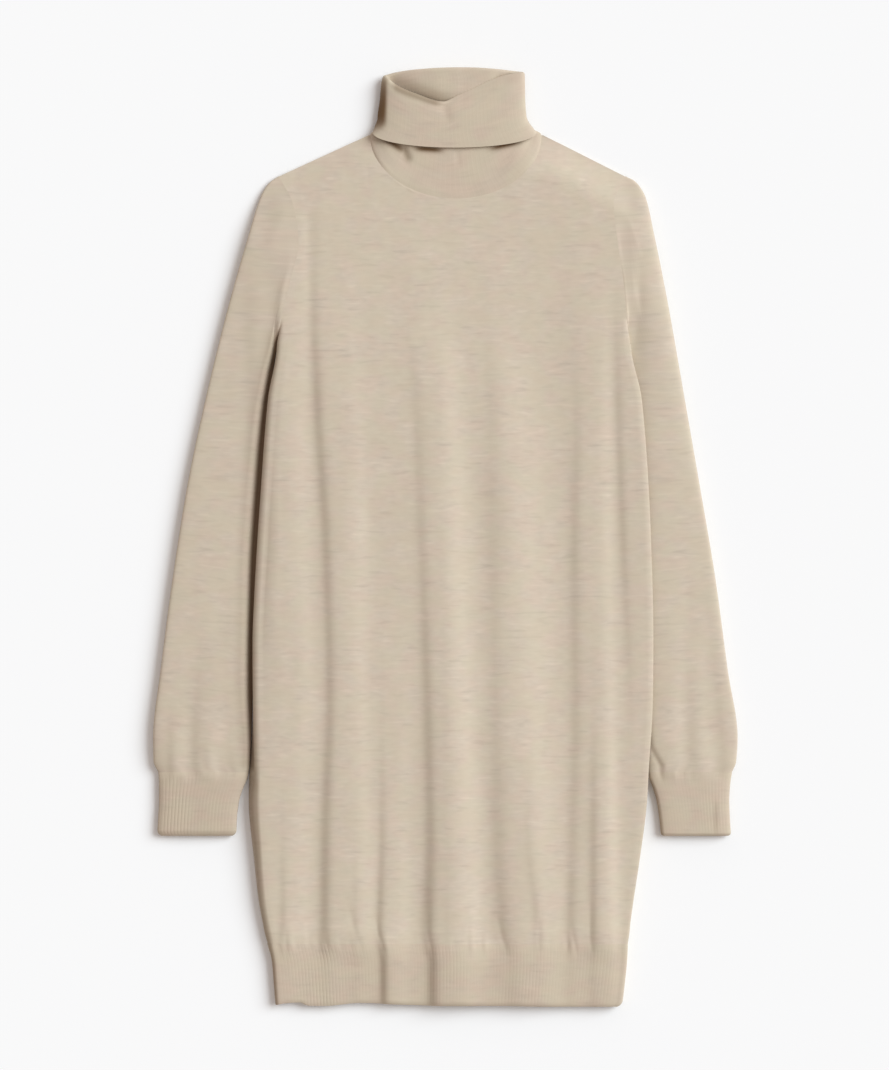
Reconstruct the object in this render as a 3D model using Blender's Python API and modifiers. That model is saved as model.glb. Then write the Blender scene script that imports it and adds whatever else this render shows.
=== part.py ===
"""A long-sleeved, roll-neck sweater dress in fine jersey, laid flat on a surface, front up.

The X axis runs across the dress, +Y towards the neck and +Z up from the surface. Every piece
that is knitted and linked on is its own wall of cloth: front, back, two sleeves, two cuffs, the
two halves of the hem rib and the roll collar. Sizes are in millimetres and MM turns them into
Blender's metres.
"""

import math
from collections import namedtuple

import bmesh
import bpy

MM = 0.001

# Cloth
JERSEY = 1.5  # wall of the fine jersey
RIB = 2.0  # wall of the ribbed cuffs, hem and collar
SEAM = 0.35  # room between two pieces at a seam

# Levels along the body
UNDERARM = 191.5
RIB_TOP = -406.5
HEM = -468.5

# The shoulders: a straight line from the neck point to the shoulder tip on each side
SHOULDER_EDGE = 2.8  # height of the front's middle plane where it lies on the back
SHOULDER_TIP_LIFT = 1.5  # and the extra at the tips, where the sleeve turns round its edge
TIP_LIFT_START = 0.6  # part of the way along the shoulder where that extra begins
SHOULDER_ROLL = 42.0  # distance over which the front climbs from the shoulder line
SHOULDER_CROWN = -8.0  # the climb is already under way this far outside the shoulder line

# The neck: half ellipses hung between the two neck points
NECK_X = 10.5
NECK_Y = 400.0
NECK_LEVEL = 402.0  # where the shoulder lines end at the neck
NECK_HALF = 85.0
FRONT_NECK_DEPTH = 63.0
BACK_NECK_DEPTH = 14.0
NECK_SEAM = 1.0  # room between the collar and the body, at the neckline's middle
NECK_SIDE_SEAM = 1.6  # and at its sides, where the collar stands up
NECK_FAN = 80.0  # how strongly the front's columns leave the sides of the neckline at right angles
NECK_FAN_DOWN = 0.35  # and the share of their downward spacing that they keep there

# How far the top of a side wall is rounded over, and where the wall bulges most
LIP_ROUND = 5.0
RIB_LIP_ROUND = 4.0
LEFT_BULGE = 0.45
RIGHT_BULGE = 0.70
LIP_LEVEL = 0.88
FOOT_ROOM = 0.65  # room between the foot of a side wall and the back under it
UNDERARM_FOOT = 3.0  # how far the front's edge stands above the back at the underarm
UNDERARM_TURN = 45.0  # length of armhole over which the front's edge turns down to it
ARMHOLE_LIP = 8.0

# Grid sizes
WALL_COLUMNS = 3
SHOULDER_COLUMNS = 4
BACK_SHOULDER_COLUMNS = 1
COLLAR_POINTS = 32
NECK_COLUMNS = COLLAR_POINTS // 2
TOP_COLUMNS = 2 * SHOULDER_COLUMNS + NECK_COLUMNS
BACK_COLUMNS = 2 * BACK_SHOULDER_COLUMNS + NECK_COLUMNS
RING_POINTS = 20
YOKE_ROWS = RING_POINTS // 2
SKIRT_ROWS = 12
RIB_ROWS = 3
CUFF_ROWS = 3

# Across the body at each height: foot, bulge and lip of the left and right side walls, and the
# height of the front above the surface.
Body = namedtuple(
    "Body", "y left_foot left_bulge left_lip right_lip right_bulge right_foot height"
)
BODY = (
    Body(400.0, -166.5, -166.0, -165.0, 181.0, 182.0, 182.5, 13.0),
    Body(330.0, -166.5, -166.0, -165.0, 181.0, 182.0, 182.5, 13.5),
    Body(191.5, -166.5, -166.0, -165.0, 181.0, 182.0, 182.5, 15.5),
    Body(136.5, -172.5, -179.0, -175.5, 193.5, 193.0, 178.0, 16.5),
    Body(36.5, -178.5, -186.0, -181.5, 202.0, 201.5, 179.0, 17.2),
    Body(-63.5, -187.5, -194.0, -190.0, 205.5, 205.0, 181.0, 17.5),
    Body(-163.5, -190.0, -195.5, -191.5, 205.5, 205.0, 182.0, 17.5),
    Body(-233.5, -193.0, -197.0, -189.0, 201.5, 201.5, 184.0, 17.0),
    Body(-263.5, -197.0, -197.0, -188.5, 199.5, 200.0, 190.0, 16.0),
    Body(-323.5, -190.5, -190.0, -183.5, 192.0, 192.5, 189.0, 14.0),
    Body(-363.5, -186.0, -186.0, -180.5, 186.0, 186.5, 185.0, 12.5),
    Body(-406.5, -178.5, -178.5, -174.0, 180.5, 181.0, 180.5, 10.8),
    Body(-423.5, -173.5, -173.5, -170.5, 179.5, 180.0, 179.5, 10.2),
    Body(-443.5, -171.5, -171.5, -169.0, 177.5, 178.0, 177.5, 9.8),
    Body(-468.5, -169.5, -169.5, -167.0, 174.5, 175.0, 174.5, 9.4),
)

# The folds of the front, as ridges (and troughs, with a negative rise) that run down the dress.
Fold = namedtuple("Fold", "x_high x_low y_start y_full y_fade y_end width rise")
FOLDS = (
    Fold(-160.0, -160.0, 260.0, 150.0, -430.0, -480.0, 15.0, 1.2),
    Fold(-131.0, -123.0, 330.0, 230.0, -380.0, -440.0, 8.0, -1.9),
    Fold(-97.0, -98.0, 200.0, 60.0, -480.0, -500.0, 15.0, 1.8),
    Fold(-2.0, 2.0, 220.0, 30.0, -480.0, -500.0, 15.0, 2.8),
    Fold(68.0, 76.0, 180.0, 60.0, -480.0, -500.0, 14.0, 1.8),
    Fold(142.0, 140.0, 160.0, 60.0, -480.0, -500.0, 15.0, 2.4),
    Fold(172.0, 170.0, 160.0, 60.0, -380.0, -440.0, 8.0, -1.2),
    Fold(-47.0, -47.0, -200.0, -330.0, -500.0, -520.0, 9.0, 2.0),
)

# The armholes, from the shoulder tip (0) to the underarm (1).
Armhole = namedtuple("Armhole", "along x y")
LEFT_ARMHOLE = (
    Armhole(0.00, -166.5, 359.5),
    Armhole(0.18, -152.0, 331.0),
    Armhole(0.42, -145.5, 293.0),
    Armhole(0.66, -147.5, 252.0),
    Armhole(0.86, -156.5, 217.0),
    Armhole(1.00, -166.5, 191.5),
)
RIGHT_ARMHOLE = (
    Armhole(0.00, 179.5, 359.5),
    Armhole(0.18, 168.5, 331.0),
    Armhole(0.42, 170.0, 293.0),
    Armhole(0.66, 174.5, 252.0),
    Armhole(0.86, 178.5, 217.0),
    Armhole(1.00, 182.5, 191.5),
)
BACK_ARMHOLE_BOW = 0.8  # the back's armhole is this much as hollow as the front's

# The sleeves, as flattened rings from armhole (0) to cuff seam (1): the ring's outer and inner
# ends on the surface, and its height.
Sleeve = namedtuple("Sleeve", "along out_x out_y in_x in_y height")
LEFT_SLEEVE = (
    Sleeve(0.00, -166.5, 359.5, -166.5, 191.5, 13.0),
    Sleeve(0.02, -176.0, 352.5, -168.3, 187.0, 12.9),
    Sleeve(0.05, -184.0, 339.0, -171.5, 179.0, 12.6),
    Sleeve(0.12, -195.0, 304.0, -177.5, 159.5, 12.0),
    Sleeve(0.25, -215.5, 232.0, -183.5, 119.5, 11.5),
    Sleeve(0.40, -237.8, 142.0, -187.8, 64.5, 11.5),
    Sleeve(0.55, -256.8, 52.0, -192.5, -3.5, 11.5),
    Sleeve(0.70, -271.5, -40.0, -197.0, -75.5, 11.5),
    Sleeve(0.85, -284.0, -135.5, -198.5, -151.5, 11.5),
    Sleeve(0.95, -291.0, -201.0, -199.2, -207.5, 11.3),
    Sleeve(1.00, -287.0, -235.0, -200.3, -235.0, 10.0),
)
RIGHT_SLEEVE = (
    Sleeve(0.00, 179.5, 359.5, 182.5, 191.5, 13.0),
    Sleeve(0.02, 189.3, 354.0, 184.3, 187.0, 12.9),
    Sleeve(0.05, 199.0, 339.0, 187.2, 179.0, 12.4),
    Sleeve(0.12, 207.0, 304.0, 190.5, 159.5, 11.2),
    Sleeve(0.25, 221.5, 232.0, 194.0, 119.5, 10.4),
    Sleeve(0.40, 237.3, 142.0, 196.5, 64.5, 10.2),
    Sleeve(0.55, 253.0, 52.0, 199.5, -3.5, 10.2),
    Sleeve(0.70, 268.5, -40.0, 200.0, -75.5, 10.2),
    Sleeve(0.85, 281.5, -135.5, 200.3, -151.5, 10.4),
    Sleeve(0.95, 291.0, -201.0, 202.0, -207.5, 10.8),
    Sleeve(1.00, 285.5, -235.0, 205.0, -235.0, 10.0),
)
SLEEVE_FULLNESS = 3.0  # exponent of the flattened ring: 2 is an ellipse, more is boxier
ARMHOLE_BLEND = 0.14  # how far down the sleeve its rings lose the armhole's form
ARMHOLE_SEAM = 0.8  # room between the sleeve and the body
UNDERARM_SEAM = 1.8  # and at the underarm, where the front's edge stands upright
UNDERARM_PART = 0.7  # where the room begins to grow towards that
LONGEST_RING_STEP = 0.1  # rows of the table that lie further apart get a ring between them

# The cuffs, from their seam down to their edge.
CUFF_SEAM = 0.6
Cuff = namedtuple("Cuff", "y left right height")
LEFT_CUFF = (
    Cuff(-235.0, -285.5, -200.3, 10.0),
    Cuff(-248.5, -284.5, -204.0, 9.8),
    Cuff(-263.5, -284.5, -207.0, 9.7),
    Cuff(-283.5, -285.8, -209.5, 9.7),
    Cuff(-295.5, -285.5, -210.5, 9.7),
)
RIGHT_CUFF = (
    Cuff(-235.0, 205.5, 284.5, 10.0),
    Cuff(-248.5, 207.5, 283.5, 9.8),
    Cuff(-263.5, 210.5, 282.0, 9.7),
    Cuff(-283.5, 214.0, 282.5, 9.7),
    Cuff(-297.0, 216.0, 283.0, 9.7),
)

# The collar: a stand up from the neckline and a turndown back over it, joined by a fold.
COLLAR_X = 9.0
COLLAR_MID = 8.5  # height of the tube's middle above the surface
STAND_HALF = 4.1  # half the stand's height, to its middle plane
FOLD_RADIUS = 1.7
TURNDOWN_HALF = STAND_HALF + 2.0 * FOLD_RADIUS
TURNDOWN_SIDE = 402.5
TURNDOWN_FRONT_DEPTH = 15.0
TURNDOWN_BACK_RISE = 4.0
COLLAR_FULLNESS = 3.2
STAND_FLAT = 0.05  # how far up the back of the stand lies on the surface
STAND_NARROWED = 0.12  # how far up the stand has the width of its stations
STAND_SETTLED = 0.28  # and how far up it has the height of the tube

# The rim at the collar's top fold, from its left side (-1) to its right (1).
Rim = namedtuple("Rim", "across front back")
RIM = (
    Rim(-1.00, 457.5, 459.5),
    Rim(-0.85, 449.0, 462.8),
    Rim(-0.60, 441.5, 465.3),
    Rim(-0.17, 433.0, 467.2),
    Rim(0.05, 440.0, 467.5),
    Rim(0.25, 446.5, 467.4),
    Rim(0.60, 457.0, 466.0),
    Rim(1.00, 462.5, 463.0),
)

# Stations of the collar's section: part of the way up the stand, round the fold and down the
# turndown, with the half width there.
Station = namedtuple("Station", "layer along half_width")
STATIONS = (
    Station("stand", 0.00, 85.0),
    Station("stand", 0.10, 77.0),
    Station("stand", 0.28, 70.0),
    Station("stand", 0.60, 66.5),
    Station("fold", 0.00, 65.8),
    Station("fold", 0.50, 67.5),
    Station("fold", 1.00, 69.2),
    Station("turndown", 0.40, 69.6),
    Station("turndown", 0.72, 71.0),
    Station("turndown", 1.00, 81.0),
)

FINISHES = {
    "jersey": ((0.57, 0.49, 0.39, 1.0), 0.92),
    "rib": ((0.55, 0.47, 0.37, 1.0), 0.94),
}


def ramp(start, end, value):
    """A smooth step from 0 at start to 1 at end."""
    part = min(1.0, max(0.0, (value - start) / (end - start)))
    return part * part * (3.0 - 2.0 * part)


def mix(a, b, part):
    return a + (b - a) * part


def read(table, column, at):
    """A column's value at a place between a table's rows, on a smooth curve with no overshoot."""
    keys = [row[0] for row in table]
    values = [getattr(row, column) for row in table]
    if keys[0] > keys[-1]:
        keys.reverse()
        values.reverse()
    if at <= keys[0]:
        return values[0]
    if at >= keys[-1]:
        return values[-1]
    count = len(keys)
    rise = [(values[i + 1] - values[i]) / (keys[i + 1] - keys[i]) for i in range(count - 1)]
    low = max(i for i in range(count - 1) if keys[i] <= at)

    def slope(i):
        if i == 0:
            return rise[0]
        if i == count - 1:
            return rise[-1]
        if rise[i - 1] * rise[i] <= 0.0:
            return 0.0
        return 2.0 * rise[i - 1] * rise[i] / (rise[i - 1] + rise[i])

    step = keys[low + 1] - keys[low]
    t = (at - keys[low]) / step
    return (
        (2 * t**3 - 3 * t**2 + 1) * values[low]
        + (t**3 - 2 * t**2 + t) * step * slope(low)
        + (3 * t**2 - 2 * t**3) * values[low + 1]
        + (t**3 - t**2) * step * slope(low + 1)
    )


def shoulder_part(x):
    """0 at a neck point and between them, growing to 1 at the shoulder tip."""
    if x < NECK_X:
        tip, neck = LEFT_ARMHOLE[0].x, NECK_X - NECK_HALF
    else:
        tip, neck = RIGHT_ARMHOLE[0].x, NECK_X + NECK_HALF
    return min(1.0, max(0.0, (x - neck) / (tip - neck)))


def shoulder_line(x):
    """Y of the line from shoulder tip to neck point, level across the neck."""
    tip = LEFT_ARMHOLE[0].y if x < NECK_X else RIGHT_ARMHOLE[0].y
    return mix(NECK_LEVEL, tip, shoulder_part(x))


def fold_height(x, y):
    """How far the folds lift the front at a place on it."""
    total = 0.0
    for fold in FOLDS:
        centre = mix(fold.x_low, fold.x_high, ramp(RIB_TOP, UNDERARM, y))
        strength = ramp(fold.y_start, fold.y_full, y) * (1.0 - ramp(fold.y_fade, fold.y_end, y))
        total += fold.rise * strength * math.exp(-(((x - centre) / fold.width) ** 2))
    return total


def front_height(x, y):
    """Height of the front's middle plane away from its side walls."""
    edge = SHOULDER_EDGE + SHOULDER_TIP_LIFT * ramp(TIP_LIFT_START, 1.0, shoulder_part(x))
    at_line = ramp(SHOULDER_CROWN, SHOULDER_ROLL, 0.0)
    climb = ramp(SHOULDER_CROWN, SHOULDER_ROLL, shoulder_line(x) - y)
    climb = max(0.0, (climb - at_line) / (1.0 - at_line))
    return mix(edge, read(BODY, "height", y), climb) + fold_height(x, y)


def wall_section(y, side, lip_round):
    """Foot, bulge, lip and top of a side wall, as (x, height) pairs from the foot up."""
    height = read(BODY, "height", y)
    foot = read(BODY, side + "_foot", y)
    bulge = read(BODY, side + "_bulge", y)
    lip = read(BODY, side + "_lip", y)
    inward = 1.0 if side == "left" else -1.0
    level = LEFT_BULGE if side == "left" else RIGHT_BULGE
    top = lip + inward * lip_round
    wall = RIB if y < RIB_TOP else JERSEY
    lean = abs(bulge - foot) / math.hypot(bulge - foot, level * height)
    foot_z = wall + FOOT_ROOM + 0.5 * wall * lean
    foot_z += UNDERARM_FOOT * ramp(UNDERARM - UNDERARM_TURN, UNDERARM, y)
    return (
        (foot, foot_z),
        (bulge, level * height),
        (lip, LIP_LEVEL * height),
        (top, front_height(top, y)),
    )


def body_row(y, lip_round=LIP_ROUND):
    """One level section of the front, from the left foot over the top to the right foot."""
    left = wall_section(y, "left", lip_round)
    right = wall_section(y, "right", lip_round)
    row = [(x, y, z) for x, z in left]
    for step in range(1, TOP_COLUMNS):
        x = mix(left[-1][0], right[-1][0], step / TOP_COLUMNS)
        row.append((x, y, front_height(x, y)))
    row += [(x, y, z) for x, z in reversed(right)]
    return row


def neck_point(angle, depth, side_room=0.0, room=0.0):
    """A point of a neckline's half ellipse, angle 0 at the left neck point and pi at the right."""
    return (
        NECK_X - (NECK_HALF + side_room) * math.cos(angle),
        NECK_Y - (depth + room) * math.sin(angle),
    )


def top_edge(shoulder_columns, depth, lip_columns):
    """The edge along the left shoulder, the neckline and the right shoulder, as (x, y) pairs."""
    left, right = LEFT_ARMHOLE[0], RIGHT_ARMHOLE[0]
    neck_left = neck_point(0.0, depth, NECK_SIDE_SEAM, NECK_SEAM)
    neck_right = neck_point(math.pi, depth, NECK_SIDE_SEAM, NECK_SEAM)
    lip = ARMHOLE_LIP if lip_columns else 0.0
    insets = [lip * step / lip_columns for step in range(lip_columns)]
    parts = [step / shoulder_columns for step in range(shoulder_columns)]
    places = [left.x + inset for inset in insets]
    places += [mix(left.x + lip, neck_left[0], part) for part in parts]
    edge = [(x, shoulder_line(x)) for x in places]
    for step in range(NECK_COLUMNS + 1):
        edge.append(neck_point(math.pi * step / NECK_COLUMNS, depth, NECK_SIDE_SEAM, NECK_SEAM))
    places = [right.x - inset for inset in insets]
    places += [mix(right.x - lip, neck_right[0], part) for part in parts]
    edge += [(x, shoulder_line(x)) for x in reversed(places)]
    return edge


def armhole(table, part, bow=1.0):
    """A point of an armhole, with its hollow scaled by bow."""
    x = read(table, "x", part)
    y = read(table, "y", part)
    chord = mix(table[0].x, table[-1].x, part)
    return mix(chord, x, bow), y


def hang(over, under, away, part):
    """A place on the line from a top point to a chest point.

    The line leaves the top away[0] sideways for each whole part, and with away[1] of the even
    spacing downwards.
    """
    start = part * (1.0 - part) ** 2
    x = mix(over[0], under[0], ramp(0.0, 1.0, part)) + start * away[0]
    y = mix(over[1], under[1], part) + start * (away[1] - 1.0) * (under[1] - over[1])
    return x, y


def yoke_plan(top, chest, part, bow=1.0, fan=0.0):
    """A row of the panel above the underarm, spread between its four edges."""
    left = armhole(LEFT_ARMHOLE, part, bow)
    right = armhole(RIGHT_ARMHOLE, part, bow)
    width = chest[-1][0] - chest[0][0]
    first_neck = (len(top) - 1 - NECK_COLUMNS) // 2
    left_line = hang(top[0], chest[0], (0.0, 1.0), part)
    right_line = hang(top[-1], chest[-1], (0.0, 1.0), part)
    row = []
    for index, (over, under) in enumerate(zip(top, chest, strict=True)):
        across = (under[0] - chest[0][0]) / width
        step = index - first_neck
        away = (0.0, 1.0)
        if fan > 0.0 and 0 <= step <= NECK_COLUMNS:
            angle = math.pi * step / NECK_COLUMNS
            away = (-fan * math.cos(angle), mix(NECK_FAN_DOWN, 1.0, math.sin(angle)))
        x, y = hang(over, under, away, part)
        x += (1.0 - across) * (left[0] - left_line[0]) + across * (right[0] - right_line[0])
        y += (1.0 - across) * (left[1] - left_line[1]) + across * (right[1] - right_line[1])
        row.append((x, y))
    return row


def chest_plan(left, right):
    """The chest line as it would lie with no side walls, from x left to x right."""
    insets = [ARMHOLE_LIP * step / WALL_COLUMNS for step in range(WALL_COLUMNS)]
    low, high = left + ARMHOLE_LIP, right - ARMHOLE_LIP
    places = [left + inset for inset in insets]
    places += [mix(low, high, step / TOP_COLUMNS) for step in range(TOP_COLUMNS + 1)]
    places += [right - inset for inset in reversed(insets)]
    return [(x, UNDERARM) for x in places]


def front_rows():
    """Rows of the front's middle plane, from the shoulders and neckline down to the rib.

    Above the underarm the side walls open out flat into the armhole's edge.
    """
    top = top_edge(SHOULDER_COLUMNS, FRONT_NECK_DEPTH, WALL_COLUMNS)
    wall = body_row(UNDERARM)
    chest = chest_plan(wall[0][0], wall[-1][0])
    rows = []
    for step in range(YOKE_ROWS):
        plan = yoke_plan(top, chest, end_spaced(step, YOKE_ROWS), fan=NECK_FAN)
        turned = ramp(UNDERARM + UNDERARM_TURN, UNDERARM, plan[0][1])
        row = []
        for index, (x, y) in enumerate(plan):
            z = front_height(x, y)
            if index <= WALL_COLUMNS:
                x = mix(x, plan[0][0] + wall[index][0] - wall[0][0], turned)
                z = mix(z, wall[index][2], turned)
            elif index >= len(plan) - 1 - WALL_COLUMNS:
                x = mix(x, plan[-1][0] + wall[index][0] - wall[-1][0], turned)
                z = mix(z, wall[index][2], turned)
            else:
                x += turned * (wall[index][0] - chest[index][0])
            row.append((x, y, z))
        rows.append(row)
    for step in range(SKIRT_ROWS + 1):
        y = mix(UNDERARM, RIB_TOP + 0.5 * SEAM, step / SKIRT_ROWS)
        rows.append(body_row(y))
    return rows


def back_rows():
    """Rows of the back, flat on the surface."""
    height = 0.5 * JERSEY
    top = top_edge(BACK_SHOULDER_COLUMNS, BACK_NECK_DEPTH, 0)

    def level(y):
        left = read(BODY, "left_foot", y) - height
        right = read(BODY, "right_foot", y) + height
        return [(mix(left, right, i / BACK_COLUMNS), y) for i in range(BACK_COLUMNS + 1)]

    chest = level(UNDERARM)
    rows = []
    for step in range(YOKE_ROWS):
        plan = yoke_plan(top, chest, end_spaced(step, YOKE_ROWS), BACK_ARMHOLE_BOW)
        rows.append([(x, y, height) for x, y in plan])
    for step in range(SKIRT_ROWS + 1):
        y = mix(UNDERARM, RIB_TOP + 0.5 * SEAM, step / SKIRT_ROWS)
        rows.append([(x, y, height) for x, y in level(y)])
    return rows


def rib_rows():
    """Rows of the hem rib's front and back halves."""
    front, back = [], []
    places = [i / BACK_COLUMNS for i in range(BACK_COLUMNS + 1)]
    for step in range(RIB_ROWS + 1):
        y = mix(RIB_TOP - 0.5 * SEAM, HEM, step / RIB_ROWS)
        front.append(body_row(y, RIB_LIP_ROUND))
        left = read(BODY, "left_foot", y) - 0.5 * RIB
        right = read(BODY, "right_foot", y) + 0.5 * RIB
        back.append([(mix(left, right, place), y, 0.5 * RIB) for place in places])
    return front, back


def end_spaced(step, steps):
    """The part 0 to 1 passed at a step, with the steps closer together at both ends."""
    return 0.5 - 0.5 * math.cos(math.pi * step / steps)


def lift(part, fullness):
    """Half height, 0 to 1, of a flattened ring a part of the way from one end to the other."""
    return max(0.0, 1.0 - abs(2.0 * part - 1.0) ** fullness) ** (1.0 / fullness)


def around(points):
    """Part of the way across, and side (1 top, -1 bottom), of each point of a flattened ring."""
    half = points // 2
    for step in range(points):
        yield end_spaced(step, half), 1.0 if step <= half else -1.0


def ring_places(table):
    """Where along a sleeve its rings lie."""
    places = [row.along for row in table]
    pairs = zip(places[:-1], places[1:], strict=True)
    return sorted(places + [mix(a, b, 0.5) for a, b in pairs if b - a > LONGEST_RING_STEP])


def sleeve_rows(table, armhole_table, edge_heights, outward):
    """Rings of a sleeve. edge_heights(part) is the front's edge height along the armhole."""
    rows = []
    for along in ring_places(table):
        start_x, start_y = read(table, "out_x", along), read(table, "out_y", along)
        end_x, end_y = read(table, "in_x", along), read(table, "in_y", along)
        height = read(table, "height", along)
        bow = 1.0 - ramp(0.0, 2.0 * ARMHOLE_BLEND, along)
        tied = 1.0 - ramp(0.0, ARMHOLE_BLEND, along)
        bottom = 0.5 * JERSEY
        middle = 0.5 * (height + bottom)
        row = []
        for part, side in around(RING_POINTS):
            hollow = 1.0 if side > 0.0 else BACK_ARMHOLE_BOW
            hole_x, hole_y = armhole(armhole_table, part, hollow)
            x = mix(start_x, end_x, part)
            y = mix(start_y, end_y, part)
            x += bow * (hole_x - mix(table[0].out_x, table[0].in_x, part))
            y += bow * (hole_y - mix(table[0].out_y, table[0].in_y, part))
            x += outward * tied * mix(ARMHOLE_SEAM, UNDERARM_SEAM, ramp(UNDERARM_PART, 1.0, part))
            if along >= 1.0:
                y += 0.5 * CUFF_SEAM
            rise = lift(part, SLEEVE_FULLNESS)
            edge = edge_heights(part)
            free_z = middle + side * (height - middle) * rise
            tied_z = mix(0.5 * (edge + bottom), edge if side > 0.0 else bottom, rise)
            row.append((x, y, mix(free_z, tied_z, tied)))
        rows.append(row)
    return rows


def cuff_rows(table):
    """Rings of a cuff, from its seam to its edge."""
    rows = []
    for step in range(CUFF_ROWS + 1):
        y = mix(table[0].y - 0.5 * CUFF_SEAM, table[-1].y, step / CUFF_ROWS)
        left, right = read(table, "left", y), read(table, "right", y)
        bottom = 0.5 * RIB
        half = 0.5 * (read(table, "height", y) - bottom)
        row = []
        for part, side in around(RING_POINTS):
            z = bottom + half + side * half * lift(part, SLEEVE_FULLNESS)
            row.append((mix(left, right, part), y, z))
        rows.append(row)
    return rows


def collar_point(station, part, side):
    """A point of the collar's middle plane at a station, part of the way across one half."""
    across = 2.0 * part - 1.0
    on_front = side > 0.0
    rise = side * lift(part, COLLAR_FULLNESS)
    rim_x = COLLAR_X + station.half_width * across
    rim_y = read(RIM, "front" if on_front else "back", across)
    if station.layer == "fold":
        turn = math.pi * station.along
        half = STAND_HALF + FOLD_RADIUS * (1.0 - math.cos(turn))
        return rim_x, rim_y - FOLD_RADIUS * (1.0 - math.sin(turn)), COLLAR_MID + half * rise
    if station.layer == "turndown":
        bend = math.sqrt(max(0.0, 1.0 - across * across))
        edge_y = TURNDOWN_SIDE - (TURNDOWN_FRONT_DEPTH if on_front else -TURNDOWN_BACK_RISE) * bend
        y = mix(rim_y - FOLD_RADIUS, edge_y, station.along)
        return rim_x, y, COLLAR_MID + TURNDOWN_HALF * rise
    depth = FRONT_NECK_DEPTH if on_front else BACK_NECK_DEPTH
    seam_x, seam_y = neck_point(math.acos(max(-1.0, min(1.0, -across))), depth)
    back_z = 0.5 * RIB
    seam_z = front_height(seam_x, seam_y) if on_front else back_z
    if part in (0.0, 1.0):
        seam_z = 0.5 * (SHOULDER_EDGE + back_z)
    settled = ramp(0.0 if on_front else STAND_FLAT, STAND_SETTLED, station.along)
    x = mix(seam_x, rim_x, ramp(0.0, STAND_NARROWED, station.along))
    y = mix(seam_y, rim_y - FOLD_RADIUS, station.along)
    return x, y, mix(seam_z, COLLAR_MID + STAND_HALF * rise, settled)


def collar_rows():
    """Rings of the collar, from the seam up the stand, over the fold and down the turndown."""
    return [
        [collar_point(station, part, side) for part, side in around(COLLAR_POINTS)]
        for station in STATIONS
    ]


def cloth_material(name):
    colour, roughness = FINISHES[name]
    material = bpy.data.materials.get(name)
    if material is None:
        material = bpy.data.materials.new(name)
        material.use_nodes = True
        shader = material.node_tree.nodes["Principled BSDF"]
        shader.inputs["Base Color"].default_value = colour
        shader.inputs["Roughness"].default_value = roughness
        shader.inputs["Metallic"].default_value = 0.0
    return material


def wall_from_rows(name, rows, closed, wall, finish, collection, upward=True):
    """A loft through rows of points, given its wall by Solidify on both sides of the loft."""
    mesh = bpy.data.meshes.new(name)
    form = bmesh.new()
    grid = [[form.verts.new([MM * value for value in point]) for point in row] for row in rows]
    columns = len(grid[0])
    for upper, lower in zip(grid[:-1], grid[1:], strict=True):
        for index in range(columns if closed else columns - 1):
            after = (index + 1) % columns
            corners = [upper[index], lower[index], lower[after], upper[after]]
            form.faces.new(corners if upward else corners[::-1])
    bmesh.ops.triangulate(form, faces=form.faces[:])
    form.to_mesh(mesh)
    form.free()
    mesh.shade_smooth()
    piece = bpy.data.objects.new(name, mesh)
    collection.objects.link(piece)
    mesh.materials.append(cloth_material(finish))
    solidify = piece.modifiers.new("Wall", "SOLIDIFY")
    solidify.thickness = MM * wall
    solidify.offset = 0.0
    solidify.use_even_offset = True
    return piece


def edge_reader(rows, index):
    """The height of the front's edge above the underarm, by the part of the armhole passed."""
    heights = [row[index][2] for row in rows[: YOKE_ROWS + 1]]

    def height(part):
        place = YOKE_ROWS * math.acos(1.0 - 2.0 * part) / math.pi
        low = min(int(place), YOKE_ROWS - 1)
        return mix(heights[low], heights[low + 1], place - low)

    return height


def build():
    for old in list(bpy.data.objects):
        bpy.data.objects.remove(old, do_unlink=True)
    dress = bpy.data.collections.new("sweater_dress")
    bpy.context.scene.collection.children.link(dress)

    front = front_rows()
    wall_from_rows("front", front, False, JERSEY, "jersey", dress)
    wall_from_rows("back", back_rows(), False, JERSEY, "jersey", dress)
    rib_front, rib_back = rib_rows()
    wall_from_rows("hem_rib_front", rib_front, False, RIB, "rib", dress)
    wall_from_rows("hem_rib_back", rib_back, False, RIB, "rib", dress)

    left = sleeve_rows(LEFT_SLEEVE, LEFT_ARMHOLE, edge_reader(front, 0), -1.0)
    right = sleeve_rows(RIGHT_SLEEVE, RIGHT_ARMHOLE, edge_reader(front, -1), 1.0)
    wall_from_rows("sleeve_left", left, True, JERSEY, "jersey", dress)
    wall_from_rows("sleeve_right", right, True, JERSEY, "jersey", dress, upward=False)
    wall_from_rows("cuff_left", cuff_rows(LEFT_CUFF), True, RIB, "rib", dress)
    wall_from_rows("cuff_right", cuff_rows(RIGHT_CUFF), True, RIB, "rib", dress)
    wall_from_rows("collar", collar_rows(), True, RIB, "rib", dress)


build()
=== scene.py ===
"""The looks of a long-sleeved, roll-neck sweater dress in fine jersey, laid flat with its front up.

Lengths are in millimetres in the frame's own directions, and MM turns them into metres: +X across
the dress, +Y towards the neck and +Z up from the surface. Each piece is first a grid of points on
the cloth's middle plane, on the form of its CAD solid. Creases, gathers and ribs are worked into
the grid, and the cloth's two faces are then laid half its thickness to either side.
"""

import math
from collections import namedtuple

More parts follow.
